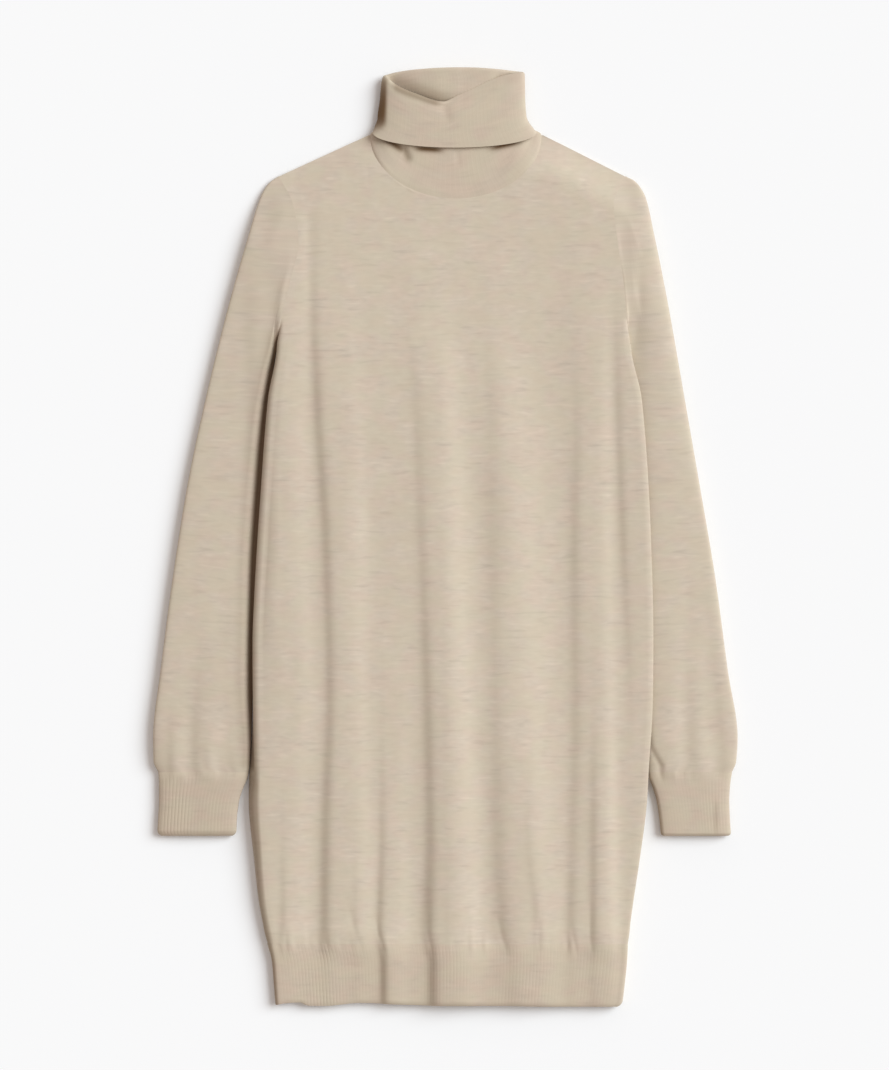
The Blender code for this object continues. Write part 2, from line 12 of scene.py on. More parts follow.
import bpy
import numpy as np
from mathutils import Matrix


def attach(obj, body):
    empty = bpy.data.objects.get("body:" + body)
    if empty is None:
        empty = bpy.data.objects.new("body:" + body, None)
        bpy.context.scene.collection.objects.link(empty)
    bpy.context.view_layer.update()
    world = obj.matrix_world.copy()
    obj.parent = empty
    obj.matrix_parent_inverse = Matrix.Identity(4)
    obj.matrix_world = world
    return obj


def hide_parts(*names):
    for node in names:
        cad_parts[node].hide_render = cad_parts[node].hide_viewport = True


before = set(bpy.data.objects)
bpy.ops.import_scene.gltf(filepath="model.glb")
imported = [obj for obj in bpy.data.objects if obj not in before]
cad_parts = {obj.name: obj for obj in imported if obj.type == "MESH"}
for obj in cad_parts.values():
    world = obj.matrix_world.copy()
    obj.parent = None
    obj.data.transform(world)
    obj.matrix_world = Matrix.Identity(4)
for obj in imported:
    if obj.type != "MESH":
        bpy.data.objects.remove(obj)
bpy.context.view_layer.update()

MM = 0.001


def tabled(columns, *rows):
    """A table: rows of values, each value under its column's name."""
    row_type = namedtuple("row_type", columns)
    return tuple(row_type(*row) for row in rows)


# ---- Sizes of the cut and of the lay, as in the CAD ----

JERSEY = 1.5
RIB = 2
UNDERARM = 191.5
RIB_TOP = -406.5
HEM = -468.5

SHOULDER_EDGE = 2.5
SHOULDER_TIP_LIFT = 0.4
TIP_LIFT_START = 0.6
SHOULDER_ROLL = 42
SHOULDER_CROWN = -8
SHOULDER_SOFTENING = 16

NECK_X = 10.5
NECK_Y = 400
NECK_LEVEL = 402
NECK_HALF = 85
FRONT_NECK_DEPTH = 63
BACK_NECK_DEPTH = 14
NECK_FAN = 80
NECK_FAN_DOWN = 0.35

LIP_ROUND = 5
LEFT_BULGE = 0.45
RIGHT_BULGE = 0.7
FOOT_ROOM = 0.65
UNDERARM_FOOT = 3
UNDERARM_TURN = 45
LEFT_TURN_REACH = 24  # how far above the underarms the front turns down into its side walls
RIGHT_TURN_REACH = 28
ARMHOLE_LIP = 4

BODY = tabled(
    "y left_foot left_bulge left_lip right_lip right_bulge right_foot height",
    (400, -166.5, -166, -165, 181, 182, 182.5, 13),
    (330, -166.5, -166, -165, 181, 182, 182.5, 13.5),
    (191.5, -166.5, -167.5, -165.5, 183, 184, 183, 15.5),
    (136.5, -172.5, -177, -173, 195, 194.5, 178, 16.5),
    (36.5, -178.5, -185, -180, 202.5, 202, 179, 17.2),
    (-13.5, -181.5, -188.5, -183, 204.5, 204, 180, 17.4),
    (-63.5, -186, -191, -186, 206, 205.5, 181, 17.5),
    (-103.5, -188, -192.5, -187.5, 206.5, 206, 181.5, 17.5),
    (-163.5, -190.5, -192, -187.6, 206, 205.5, 182, 17.5),
    (-233.5, -195, -190.6, -186.4, 201.5, 201.5, 184, 17),
    (-263.5, -196, -195.5, -186, 199.5, 200, 190, 16),
    (-323.5, -190.5, -190, -183.5, 192, 192.5, 189, 14),
    (-363.5, -186, -186, -180.5, 186, 186.5, 185, 12.5),
    (-406.5, -177, -177, -173, 180.5, 181, 180.5, 10.8),
    (-423.5, -172.6, -172.6, -169.8, 179.5, 180, 179.5, 10.2),
    (-443.5, -170.8, -170.8, -168.3, 177.5, 178, 177.5, 9.8),
    (-468.5, -169, -169, -166.5, 174.5, 175, 174.5, 9.4),
)

ARMHOLE_COLUMNS = "along x y"
LEFT_ARMHOLE = tabled(
    ARMHOLE_COLUMNS,
    (0.00, -166.5, 359.5),
    (0.18, -152, 331),
    (0.42, -146.5, 293),
    (0.66, -155.5, 252),
    (0.86, -164, 217),
    (1.00, -166.5, 191.5),
)
RIGHT_ARMHOLE = tabled(
    ARMHOLE_COLUMNS,
    (0.00, 179.5, 359.5),
    (0.18, 167.8, 331),
    (0.42, 171.8, 293),
    (0.66, 177.4, 252),
    (0.86, 180.8, 217),
    (1.00, 182.5, 191.5),
)
BACK_ARMHOLE_BOW = 0.8

SLEEVE_COLUMNS = "along out_x out_y in_x in_y height"
LEFT_SLEEVE = tabled(
    SLEEVE_COLUMNS,
    (0.00, -166.5, 359.5, -166.5, 191.5, 13),
    (0.02, -176, 352.5, -168.5, 187, 12.9),
    (0.05, -184, 339, -170.8, 179, 12.6),
    (0.12, -195, 304, -173.4, 159.5, 12),
    (0.25, -215.5, 232, -176.8, 119.5, 11.5),
    (0.4, -237.8, 142, -180.2, 64.5, 11.5),
    (0.55, -256.8, 52, -184.4, -3.5, 11.5),
    (0.7, -271.5, -40, -189.7, -75.5, 11.5),
    (0.85, -284, -135.5, -193, -151.5, 11.5),
    (0.95, -291.2, -201, -195.1, -207.5, 11.3),
    (0.985, -290.8, -225, -196.2, -226.8, 10.8),
    (1.00, -286.2, -235, -197.4, -235, 10),
)
RIGHT_SLEEVE = tabled(
    SLEEVE_COLUMNS,
    (0.00, 179.5, 359.5, 182.5, 191.5, 13),
    (0.02, 189.3, 354, 184.3, 187, 12.9),
    (0.05, 199, 339, 187.2, 179, 12.4),
    (0.12, 207, 304, 190.5, 159.5, 11.2),
    (0.25, 221.5, 232, 194, 119.5, 10.4),
    (0.4, 237.3, 142, 196.5, 64.5, 10.2),
    (0.55, 253, 52, 199.5, -3.5, 10.2),
    (0.7, 268.5, -40, 200, -75.5, 10.2),
    (0.85, 281.5, -135.5, 200.3, -151.5, 10.4),
    (0.95, 291, -201, 202, -207.5, 10.8),
    (0.985, 289.5, -225, 202.6, -226.8, 10.6),
    (1.00, 285.5, -235, 203, -235, 10),
)
SLEEVE_FULLNESS = 3
ARMHOLE_BLEND = 0.14

# How boxy a sleeve's rings are at their outer and inner ends, and how far the inner end slips in
# under the body
FORM_COLUMNS = "along outer inner slip"
LEFT_FORM = tabled(
    FORM_COLUMNS,
    (0.00, 8, 8, 0),
    (0.85, 8, 8, 0),
    (0.95, 7, 7, 0),
    (1.00, 3, 3, 0),
)
RIGHT_FORM = tabled(
    FORM_COLUMNS,
    (0.00, 8, 6, 0),
    (0.03, 5, 3, 4),
    (0.12, 2.5, 2.4, 6),
    (0.3, 2.4, 2.3, 5),
    (0.45, 2.8, 2.5, 3.5),
    (0.6, 5, 3.2, 2),
    (0.9, 4.5, 3.5, 0),
    (1.00, 3, 3, 0),
)

# The crevice between the body's left side and the sleeve: the x of the sleeve's inner edge, how
# far out from there its top comes up, how softly, and how open the crevice is
CREVICE = tabled(
    "y x out soft open",
    (250, -156, 4.5, 3, 0),
    (232, -160.9, 3.8, 3, 0.08),
    (219.5, -163.6, 3.2, 3, 0.3),
    (206, -165.4, 3.8, 3, 0.75),
    (191.5, -166.5, 5.2, 3.5, 1),
    (159.5, -173.1, 5.6, 5, 1),
    (119.5, -176.6, 8.4, 6, 1),
    (64.5, -179.9, 10.4, 6, 1),
    (-3.5, -184.1, 11.2, 6, 1),
    (-75.5, -189.4, 7.8, 6, 1),
    (-151.5, -192.9, 5, 6, 1),
    (-207.5, -194.2, 0.8, 5, 1),
    (-235, -196.4, 0, 4, 1),
)
LEFT_UNDERARM_BLEND = 0.08
RIGHT_UNDERARM_BLEND = 0.03
LAID_GAP = 1.7  # between the middle planes of two layers that lie on each other
BESIDE_WALL = 1.6  # between the middle planes of a sleeve and of the body's side wall beside it

CUFF_COLUMNS = "y left right height"
LEFT_CUFF = tabled(
    CUFF_COLUMNS,
    (-235, -286.2, -197.6, 10),
    (-243.5, -285.3, -199.8, 9.8),
    (-253.5, -285.2, -203.8, 9.8),
    (-263.5, -285.2, -207, 9.7),
    (-283.5, -286.2, -209.4, 9.7),
    (-298, -287, -209.8, 9.7),
)
RIGHT_CUFF = tabled(
    CUFF_COLUMNS,
    (-235, 203, 285.5, 10),
    (-243.5, 205.2, 283.8, 9.8),
    (-252, 208.4, 283, 9.8),
    (-263.5, 211.6, 282.4, 9.7),
    (-283.5, 214.6, 283.2, 9.7),
    (-298, 216, 284.2, 9.7),
)
EDGE_ROLL = 5
LEFT_CUFF_ROLL = 5
RIGHT_CUFF_ROLL = 2.6

COLLAR_X = 9
COLLAR_MID = 8.5
STAND_HALF = 4.1
FOLD_RADIUS = 1.7
TURNDOWN_HALF = STAND_HALF + 2 * FOLD_RADIUS
TURNDOWN_SIDE = 402.5
TURNDOWN_FRONT_DEPTH = 15
TURNDOWN_BACK_RISE = 4
COLLAR_FULLNESS = 3.2
STAND_FLAT = 0.05
STAND_NARROWED = 0.12
STAND_SETTLED = 0.28

RIM = tabled(
    "across front back",
    (-1.00, 457.5, 459.5),
    (-0.85, 449, 462.8),
    (-0.6, 441.5, 465.3),
    (-0.17, 433, 467.2),
    (0.05, 440, 467.5),
    (0.25, 446.5, 467.4),
    (0.6, 457, 466),
    (1.00, 462.5, 463),
)

# The collar's half width along its section: up the stand (0 to 1), round the fold (1 to 2) and
# down the turndown (2 to 3)
COLLAR_WIDTH = tabled(
    "along half",
    (0.00, 85),
    (0.1, 77),
    (0.28, 70),
    (0.6, 66.5),
    (1.00, 65.8),
    (1.5, 67.5),
    (2.00, 69.2),
    (2.4, 69.6),
    (2.72, 71),
    (3.00, 81),
)

# How far the front of the roll sinks towards its rim, and over what reach, and how far the inside
# of the back comes up beyond the rim, and over what reach
OPENING = tabled(
    "across sink reach rise climb",
    (-1.00, 0, 8, 0, 9),
    (-0.8, 0.7, 9, 3.6, 8),
    (-0.5, 0.9, 10, 6.6, 7),
    (-0.2, 2, 13, 7.9, 5),
    (0.02, 3.6, 18, 7.9, 1.2),
    (0.16, 4, 20, 7.7, -0.3),
    (0.5, 4, 20, 7.7, -0.3),
    (0.7, 3.4, 18, 6.4, 1.2),
    (0.88, 1.6, 14, 2, 1.5),
    (1.00, 0, 8, 0, 4),
)

# The roll's left side slopes outwards, down to the surface; the shade it lies in is also painted
LEFT_SPREAD = tabled(
    "y out shade",
    (460, 2, 0),
    (452, 4, 0.6),
    (436, 5.5, 0.9),
    (422, 7, 0.95),
    (412, 5, 0.8),
    (404, 1, 0.2),
    (400, 0, 0),
)

# Soft dents: the middle, the half lengths along and across, the way that the long one leans, the
# depth, and how much shade is painted into the cloth in it
DENT_COLUMNS = "x y long short lean depth shade"
# Dents in the stand, with painted shade in the gaps under the turndown's edge
STAND_DENTS = tabled(
    DENT_COLUMNS,
    (-53, 393, 15, 4.4, -38, 1.6, 0.9),
    (-39.5, 382, 9, 4.4, -70, 1.6, 0.46),
    (-17, 386.2, 14, 3.3, -4, 0.8, 0.98),
    (60, 390.6, 16, 3.3, 14, 0.8, 0.98),
    (12, 378, 9, 3, -85, 0.3, 0),
)
# Dents in the turndown, with faint painted shade below its rim
TURNDOWN_DENTS = tabled(
    DENT_COLUMNS,
    (0, 424, 11, 5, -75, 0.7, 0.08),
    (-14, 435.5, 20, 5.5, -22, 0.2, 0.1),
    (44, 432, 22, 6, 10, 0.35, 0),
)
# Painted shade inside the back of the roll, beside the front's rim; the cloth is not dented
INSIDE_SHADE_DENTS = tabled(
    DENT_COLUMNS,
    (-25, 446, 35, 6.5, -21, 0, 0.36),
    (60, 460.5, 10, 2.6, 18, 0, 0.26),
)
INSIDE_ROWS = 28
# Painted shade on the left half of the roll's fold, to dim its highlight
LEFT_RIM_SHADE = 0.5

# ---- Folds, creases and gathers ----

# The flanks of the front's long folds. Each runs down the dress through an x at each level, and
# has a slope there: up to the right, or down to the right where it is negative. The last level
# is in the hem rib, where most of them die away.
FLANK_COLUMNS = "width xs slopes"
FLANK_LEVELS = (306, 236, 136, -14, -164, -294, -394, -426)
FLANKS = tabled(
    FLANK_COLUMNS,
    (3, (-162,) * 8, (0, 0, 0, 0, 0, 0.05, 0.27, 0.02)),
    (4, (-140, -139, -139, -139, -139, -139, -139, -139), (-0.16, -0.06, 0, 0, 0, 0, 0, 0)),
    (
        10,
        (-139, -139, -142.5, -142, -138.5, -141, -143.5, -144),
        (0, -0.08, -0.15, -0.16, -0.14, -0.14, -0.17, -0.04),
    ),
    (
        5.5,
        (-130, -131, -127.5, -118.5, -115, -119.5, -120.5, -120.5),
        (0.08, 0.22, 0.42, 0.42, 0.4, 0.45, 0.52, 0.06),
    ),
    (10, (-92, -92, -87, -85, -83, -79, -76, -76), (0, -0.02, -0.12, -0.19, -0.21, -0.2, -0.22, 0)),
    (3, (-90,) * 8, (0, 0, 0, 0, 0, 0.02, 0.15, 0.03)),
    (4, (-63, -63, -63, -63, -63, -63, -65.5, -61.5), (0, 0, 0, 0, 0.06, 0.28, 0.52, 0.55)),
    (10, (-42,) * 8, (0, 0, 0, 0, -0.05, -0.13, -0.2, -0.12)),
    (6, (-40, -40, -29.5, -23, -18, -15, -17, -12.5), (0, 0.04, 0.12, 0.24, 0.38, 0.45, 0.6, 0.5)),
    (7, (-2, -2, -2, -2, -1, 1, 2, 2), (0, 0, 0, 0.04, 0.08, 0.1, 0.12, 0.04)),
    (13, (0, 0, 8, 13.5, 18.5, 24, 29, 29), (0, -0.06, -0.21, -0.29, -0.31, -0.31, -0.28, -0.16)),
    (9, (40, 40, 46, 47.5, 49.5, 52, 59, 66), (0, 0.02, 0.12, 0.18, 0.18, 0.22, 0.36, 0.14)),
    (18, (70, 70, 75, 86, 91, 99, 107, 108), (0, -0.03, -0.2, -0.23, -0.26, -0.22, -0.18, -0.14)),
    (4, (82, 82, 82, 82, 82, 82, 91, 91), (0, 0, 0, 0, 0, 0.12, 0.27, 0)),
    (6, (130, 130, 132, 128.5, 129.5, 127, 124.5, 124), (0, 0.02, 0.13, 0.27, 0.24, 0.24, 0.38, 0.08)),
    (4.5, (148,) * 5 + (147.5, 147.5, 147), (0, 0, 0, 0, 0.04, 0.32, 0.4, 0.12)),
    (
        7,
        (160, 160, 161, 162.5, 164.5, 167, 168.5, 170),
        (0, -0.05, -0.18, -0.24, -0.27, -0.36, -0.36, -0.18),
    ),
    (4.5, (171, 171, 172.5, 177.5, 184, 186, 186, 186), (0, 0.05, 0.27, 0.26, 0.08, 0.03, 0, 0)),
)
FLANKS_END = 340  # above this level the flanks are gone

# Short creases where the rib gathers the front, each sunk along its path
CREASE_LEVELS = (-360, -374, -386, -396, -404, -412, -420, -440)
CREASES = tabled(
    "width xs depths",
    (2.4, (-159,) * 8, (0, 0, 0, 0.3, 0.5, 0.4, 0.1, 0)),
    (3.5, (-98, -95, -92, -89, -87, -85, -85, -85), (0, 0.3, 0.4, 0.4, 0.4, 0.3, 0, 0)),
    (2.5, (-70, -69.5, -68, -66, -63.5, -61.5, -60, -60), (0, 0, 0.3, 0.6, 0.7, 0.5, 0.2, 0)),
    (2.5, (-17, -17, -17, -16.5, -15, -13.5, -12.5, -12.5), (0, 0.2, 0.3, 0.5, 0.6, 0.5, 0.2, 0)),
    (3, (50, 52, 54, 56, 58, 60.5, 62, 62), (0, 0, 0.3, 0.5, 0.55, 0.35, 0.1, 0)),
    (2.5, (93.5,) * 8, (0, 0, 0.3, 0.5, 0.5, 0.3, 0, 0)),
    (2.5, (124, 125, 126, 127, 128.5, 130, 131, 131), (0, 0, 0.1, 0.4, 0.6, 0.4, 0.1, 0)),
    (2.4, (144.5, 144.5, 144.5, 144.5, 145, 146, 147, 147), (0, 0.3, 0.4, 0.5, 0.5, 0.3, 0, 0)),
)

# The flanks of the sleeves, most of them just above the cuffs
SLEEVE_LEVELS = (281, 221, 136, -3, -113, -163, -204, -229)
LEFT_FLANKS = tabled(
    FLANK_COLUMNS,
    (8, (-190, -195, -193, -193, -193, -193, -193, -193), (0.04, 0.12, 0.15, 0, 0, 0, 0, 0)),
    (4, (-274,) * 8, (0, 0, 0, 0, 0, 0.02, 0.16, 0.24)),
    (7, (-262,) * 8, (0, 0, 0, 0, -0.02, -0.07, -0.19, -0.16)),
    (6, (-244, -244, -244, -244, -244, -247, -249, -249), (0, 0, 0, 0, 0.04, 0.13, 0.23, 0.18)),
    (2.5, (-238.5,) * 8, (0, 0, 0, 0, 0, 0, 0.03, 0.12)),
    (7, (-226, -226, -226, -226, -226, -226, -228, -231), (0, 0, 0, 0, -0.02, -0.07, -0.2, -0.22)),
    (4, (-212,) * 8, (0, 0, 0, 0, 0, 0, 0, 0.14)),
)
RIGHT_FLANKS = tabled(
    FLANK_COLUMNS,
    (9, (190, 195, 198, 200, 200, 200, 200, 200), (0.26, 0.27, 0.13, 0, 0, 0, 0, 0)),
    (2.2, (203, 203, 203, 203, 203, 203, 205.5, 217), (0, 0, 0, 0, 0, 0, 0.3, 0.58)),
    (2, (200, 200, 200, 200, 200, 200, 201.5, 212), (0, 0, 0, 0, 0, 0, -0.15, -0.24)),
    (7, (236, 236, 236, 237, 234, 233, 232.5, 235), (0, 0, 0, -0.02, -0.1, -0.13, -0.19, -0.16)),
    (5, (245, 245, 245, 245, 245, 244.5, 245.5, 249), (0, 0, 0, 0, 0, 0.06, 0.13, 0.12)),
    (7, (254, 254, 254, 254, 254, 258, 260.5, 263), (0, 0, 0, 0, -0.06, -0.12, -0.2, -0.18)),
    (5, (256, 256, 256, 260, 268, 273, 277, 277.5), (0, 0, 0, 0.03, 0.1, 0.12, 0.13, 0.18)),
)

# How the front rolls down towards its left side
ROLL = tabled(
    "y depth reach",
    (230, 0, 10),
    (180, 1.2, 10),
    (86.5, 2.6, 14),
    (36.5, 4, 15),
    (-13.5, 5, 18),
    (-83.5, 4.4, 20),
    (-143.5, 2.4, 30),
    (-203.5, 0.6, 20),
    (-263.5, 0.2, 10),
    (-406.5, 0, 10),
)


def ramp(start, end, value):
    """A smooth step from 0 at start to 1 at end."""
    part = np.clip((value - start) / (end - start), 0, 1)
    return part * part * (3 - 2 * part)


def mix(a, b, part):
    return a + (b - a) * part


def bell(off):
    """1 where off is 0, fading smoothly to both sides."""
    return np.exp(-(off**2))


def curve(keys, values, at):
    """A smooth curve with no overshoot through values at keys, read at any places."""
    keys, values = np.asarray(keys, float), np.asarray(values, float)
    if keys[0] > keys[-1]:
        keys, values = keys[::-1], values[::-1]
    at = np.clip(at, keys[0], keys[-1])
    steps = np.diff(keys)
    rises = np.diff(values) / steps
    product = rises[:-1] * rises[1:]
    slopes = np.concatenate(([rises[0]], np.zeros(len(product)), [rises[-1]]))
    turns = product > 0
    slopes[1:-1][turns] = 2 * product[turns] / (rises[:-1] + rises[1:])[turns]
    low = np.clip(np.searchsorted(keys, at, side="right") - 1, 0, len(keys) - 2)
    step = steps[low]
    t = (at - keys[low]) / step
    return (
        (2 * t**3 - 3 * t**2 + 1) * values[low]
        + (t**3 - 2 * t**2 + t) * step * slopes[low]
        + (3 * t**2 - 2 * t**3) * values[low + 1]
        + (t**3 - t**2) * step * slopes[low + 1]
    )


def read(table, columns, at):
    """One or more of a table's columns, as smooth curves over its first one, read at the places."""
    keys = [row[0] for row in table]
    found = [curve(keys, [getattr(row, column) for row in table], at) for column in columns.split()]
    return found if len(found) > 1 else found[0]


def wander(at, pitch, seed):
    """An even, smooth noise between -1 and 1 along a line, with a turn about every pitch."""
    count = 4096
    values = np.random.default_rng(seed).uniform(-1, 1, count)
    place = np.asarray(at) / pitch + 0.5 * count
    low = np.floor(place).astype(int)
    return mix(values[low % count], values[(low + 1) % count], ramp(0, 1, place - low))


def rumple(x, y, pitch_x, pitch_y, seed):
    """An even, smooth noise between -1 and 1 over a surface."""
    side = 256
    values = np.random.default_rng(seed).uniform(-1, 1, (side, side))
    place_x, place_y = np.asarray(x) / pitch_x + 0.5 * side, np.asarray(y) / pitch_y + 0.5 * side
    low_x, low_y = np.floor(place_x).astype(int), np.floor(place_y).astype(int)
    part_x, part_y = ramp(0, 1, place_x - low_x), ramp(0, 1, place_y - low_y)
    lower, upper = (
        mix(values[low_x % side, row % side], values[(low_x + 1) % side, row % side], part_x)
        for row in (low_y, low_y + 1)
    )
    return mix(lower, upper, part_y)


def xyz(points):
    """The points' x, y and z, as views of the points' own numbers."""
    return points[..., 0], points[..., 1], points[..., 2]


def run_length(row):
    """How far along a row of points each of them lies."""
    return np.concatenate(([0], np.cumsum(np.linalg.norm(np.diff(row, axis=0), axis=1))))


def evenly_read(values, row, count):
    """Values known along a row of points, read evenly along its length."""
    length = run_length(row)
    at = np.linspace(0, length[-1], count)
    return np.stack([np.interp(at, length, axis) for axis in values.T], 1)


def evenly(points, count):
    """Each row of points, spread evenly along its own length."""
    return np.array([evenly_read(row, row, count) for row in points])


def end_spaced(steps):
    """The parts 0 to 1 passed at each step, with the steps closer together at both ends."""
    return 0.5 - 0.5 * np.cos(np.pi * np.arange(steps + 1) / steps)


def shares(rows, columns, steps):
    """The part of the way across that each column lies, in every row."""
    return np.arange(columns)[None, :] / steps * np.ones((rows, 1))


def wrapped(values):
    """Columns all round a ring, with the first one again at the end."""
    return np.concatenate((values, values[:, :1]), 1)


# ---- The form of the front ----


def shoulder_part(x):
    """0 at a neck point and between them, growing to 1 at the shoulder tip."""
    ends = ((NECK_X - NECK_HALF, LEFT_ARMHOLE[0].x), (NECK_X + NECK_HALF, RIGHT_ARMHOLE[0].x))
    left, right = ((x - neck) / (tip - neck) for neck, tip in ends)
    return np.clip(np.where(x < NECK_X, left, right), 0, 1)


def shoulder_line(x):
    """Y of the line from shoulder tip to neck point, level across the neck."""
    tip = np.where(x < NECK_X, LEFT_ARMHOLE[0].y, RIGHT_ARMHOLE[0].y)
    return mix(NECK_LEVEL, tip, shoulder_part(x))


def soft_shoulder_line(x):
    """The shoulder line with its corners at the neck points rounded off."""
    offsets = SHOULDER_SOFTENING * np.array((-1, -0.5, 0, 0.5, 1))
    return sum(shoulder_line(x + offset) for offset in offsets) / len(offsets)


def flank_rise(flanks, levels, x, y):
    """How far flanks lift the cloth, each climbing from half its height below 0 to half above."""
    total = np.zeros(np.broadcast(x, y).shape)
    for flank in flanks:
        centre = curve(levels, flank.xs, y)
        total += curve(levels, flank.slopes, y) * flank.width * np.tanh((x - centre) / flank.width)
    return total


def crease_rise(x, y):
    """How far the short creases sink the front, as a height of 0 or less."""
    total = np.zeros(np.broadcast(x, y).shape)
    for crease in CREASES:
        centre, depth = (curve(CREASE_LEVELS, values, y) for values in (crease.xs, crease.depths))
        total -= depth * bell((x - centre) / crease.width)
    return total


def flank_height(x, y):
    """How far the long folds lift the front. It is 0 at both sides of the body."""
    left_x, right_x = read(BODY, "left_lip right_lip", y)
    at_left, at_right, rise = (
        flank_rise(FLANKS, FLANK_LEVELS, place, y) for place in (left_x, right_x, x)
    )
    rise = rise - mix(at_left, at_right, (x - left_x) / (right_x - left_x))
    return rise * (1 - ramp(FLANK_LEVELS[0], FLANKS_END, y)) + crease_rise(x, y)


def side_roll(x, y):
    """How far the front sinks towards its left side, where it rolls into the crevice."""
    depth, reach = read(ROLL, "depth reach", y)
    return depth * (1 - np.clip((x - read(BODY, "left_lip", y)) / reach, 0, 1)) ** 2


def front_height(x, y):
    """Height of the front's middle plane away from its side walls."""
    edge = SHOULDER_EDGE + SHOULDER_TIP_LIFT * ramp(TIP_LIFT_START, 1, shoulder_part(x))
    at_line = ramp(SHOULDER_CROWN, SHOULDER_ROLL, 0)
    climb = ramp(SHOULDER_CROWN, SHOULDER_ROLL, soft_shoulder_line(x) - y)
    climb = np.maximum(0, (climb - at_line) / (1 - at_line))
    loose = 0.3 * rumple(x, y, 34, 120, 3) + 0.12 * rumple(x, y, 14, 55, 4)
    inside = read(BODY, "height", y) + flank_height(x, y) - side_roll(x, y) + loose
    return mix(edge, inside, climb)


def bend(a, b, c, t):
    """A point of the curve from a to c that is drawn towards b."""
    return (1 - t) ** 2 * a + 2 * t * (1 - t) * b + t**2 * c


def side_wall(y, side, lip_round, part):
    """x and z of a side wall, as smooth curves from its foot (part 0) to the top (1)."""
    height, foot, bulge, lip = read(BODY, f"height {side}_foot {side}_bulge {side}_lip", y)
    inward, level = (1, LEFT_BULGE) if side == "left" else (-1, RIGHT_BULGE)
    wall = np.where(y < RIB_TOP, RIB, JERSEY)
    lean = np.abs(bulge - foot) / np.hypot(bulge - foot, level * height)
    foot_z = wall + FOOT_ROOM + 0.5 * wall * lean
    foot_z = foot_z + UNDERARM_FOOT * ramp(UNDERARM - UNDERARM_TURN, UNDERARM, y)
    top = lip + inward * lip_round
    top_z = front_height(top, y)
    shoulder_x = mix(lip, bulge, 0.5) - 0.8 * inward
    middle_x, middle_z = 0.5 * (bulge + shoulder_x), 0.5 * (level * height + top_z)
    lower, upper = np.clip(2 * part, 0, 1), np.clip(2 * part - 1, 0, 1)
    lower_x, upper_x = bend(foot, bulge, middle_x, lower), bend(middle_x, shoulder_x, top, upper)
    lower_z = bend(foot_z, level * height, middle_z, lower)
    upper_z = bend(middle_z, top_z, top_z, upper)
    return np.where(part < 0.5, lower_x, upper_x), np.where(part < 0.5, lower_z, upper_z)


def body_sections(y, wall_steps, top_steps, lip_round=LIP_ROUND):
    """Level sections of the front at heights y, from the left foot over the top to the right."""
    y = np.asarray(y, float)[:, None]
    part = np.linspace(0, 1, wall_steps + 1)[None, :]
    left_x, left_z = side_wall(y, "left", lip_round, part)
    right_x, right_z = side_wall(y, "right", lip_round, part)
    top_x = mix(left_x[:, -1:], right_x[:, -1:], np.linspace(0, 1, top_steps + 1)[None, 1:-1])
    x = np.concatenate((left_x, top_x, right_x[:, ::-1]), 1)
    z = np.concatenate((left_z, front_height(top_x, y), right_z[:, ::-1]), 1)
    return np.stack((x, np.broadcast_to(y, x.shape), z), 2)


# ---- The panels ----

WALL_STEPS = 10
SHOULDER_STEPS = 52
NECK_STEPS = 124
TOP_STEPS = 2 * SHOULDER_STEPS + NECK_STEPS
YOKE_STEPS = 56
SKIRT_STEP = 7
GATHER_STEP = 2
GATHER_REACH = 44
BACK_SHOULDER_STEPS = 8
BACK_NECK_STEPS = 30
BACK_YOKE_STEPS = 30
BACK_LEVELS = 91
SEAM_ROOM = 0.1  # between the jersey and the rib


def neck_point(angle, depth):
    """A point of a neckline's half ellipse, angle 0 at the left neck point and pi at the right."""
    return NECK_X - NECK_HALF * np.cos(angle), NECK_Y - depth * np.sin(angle)


def top_edge(depth, lip_steps, shoulder_steps, neck_steps):
    """The edge along the left shoulder, the neckline and the right shoulder."""
    left, right = LEFT_ARMHOLE[0].x, RIGHT_ARMHOLE[0].x
    lip = ARMHOLE_LIP if lip_steps else 0
    insets = np.linspace(0, lip, lip_steps + 1)[:-1]
    parts = np.linspace(0, 1, shoulder_steps + 1)[:-1]
    left_x = np.concatenate((left + insets, mix(left + lip, NECK_X - NECK_HALF, parts)))
    right_x = np.concatenate((right - insets, mix(right - lip, NECK_X + NECK_HALF, parts)))[::-1]
    neck_x, neck_y = neck_point(np.linspace(0, np.pi, neck_steps + 1), depth)
    y = np.concatenate((shoulder_line(left_x), neck_y, shoulder_line(right_x)))
    return np.concatenate((left_x, neck_x, right_x)), y


def armhole(table, part, bow=1):
    """A point of an armhole, with its hollow scaled by bow."""
    x, y = read(table, "x y", part)
    return mix(mix(table[0].x, table[-1].x, part), x, bow), y


def yoke_plan(top_x, top_y, chest_x, parts, neck_steps, bow=1, fan=0):
    """Rows of the panel above the underarm, spread between its four edges."""
    part = parts[:, None]
    first_neck = (len(top_x) - 1 - neck_steps) // 2
    columns = np.arange(len(top_x)) - first_neck
    angle = np.pi * np.clip(columns / neck_steps, 0, 1)
    off_neck = np.maximum(-columns, columns - neck_steps) / first_neck
    at_neck = (1 - np.clip(off_neck, 0, 1)) * (1 if fan else 0)
    away_x = -fan * np.cos(angle) * at_neck
    away_y = mix(1, mix(NECK_FAN_DOWN, 1, np.sin(angle)), at_neck)
    start = part * (1 - part) ** 2
    eased = ramp(0, 1, part)
    x = mix(top_x, chest_x, eased) + start * away_x
    y = mix(top_y, UNDERARM, part) + start * (away_y - 1) * (UNDERARM - top_y)
    across = (chest_x - chest_x[0]) / (chest_x[-1] - chest_x[0])
    for table, end, share in ((LEFT_ARMHOLE, 0, 1 - across), (RIGHT_ARMHOLE, -1, across)):
        hole_x, hole_y = armhole(table, part, bow)
        x = x + share * (hole_x - mix(top_x[end], chest_x[end], eased))
        y = y + share * (hole_y - mix(top_y[end], UNDERARM, part))
    return x, y


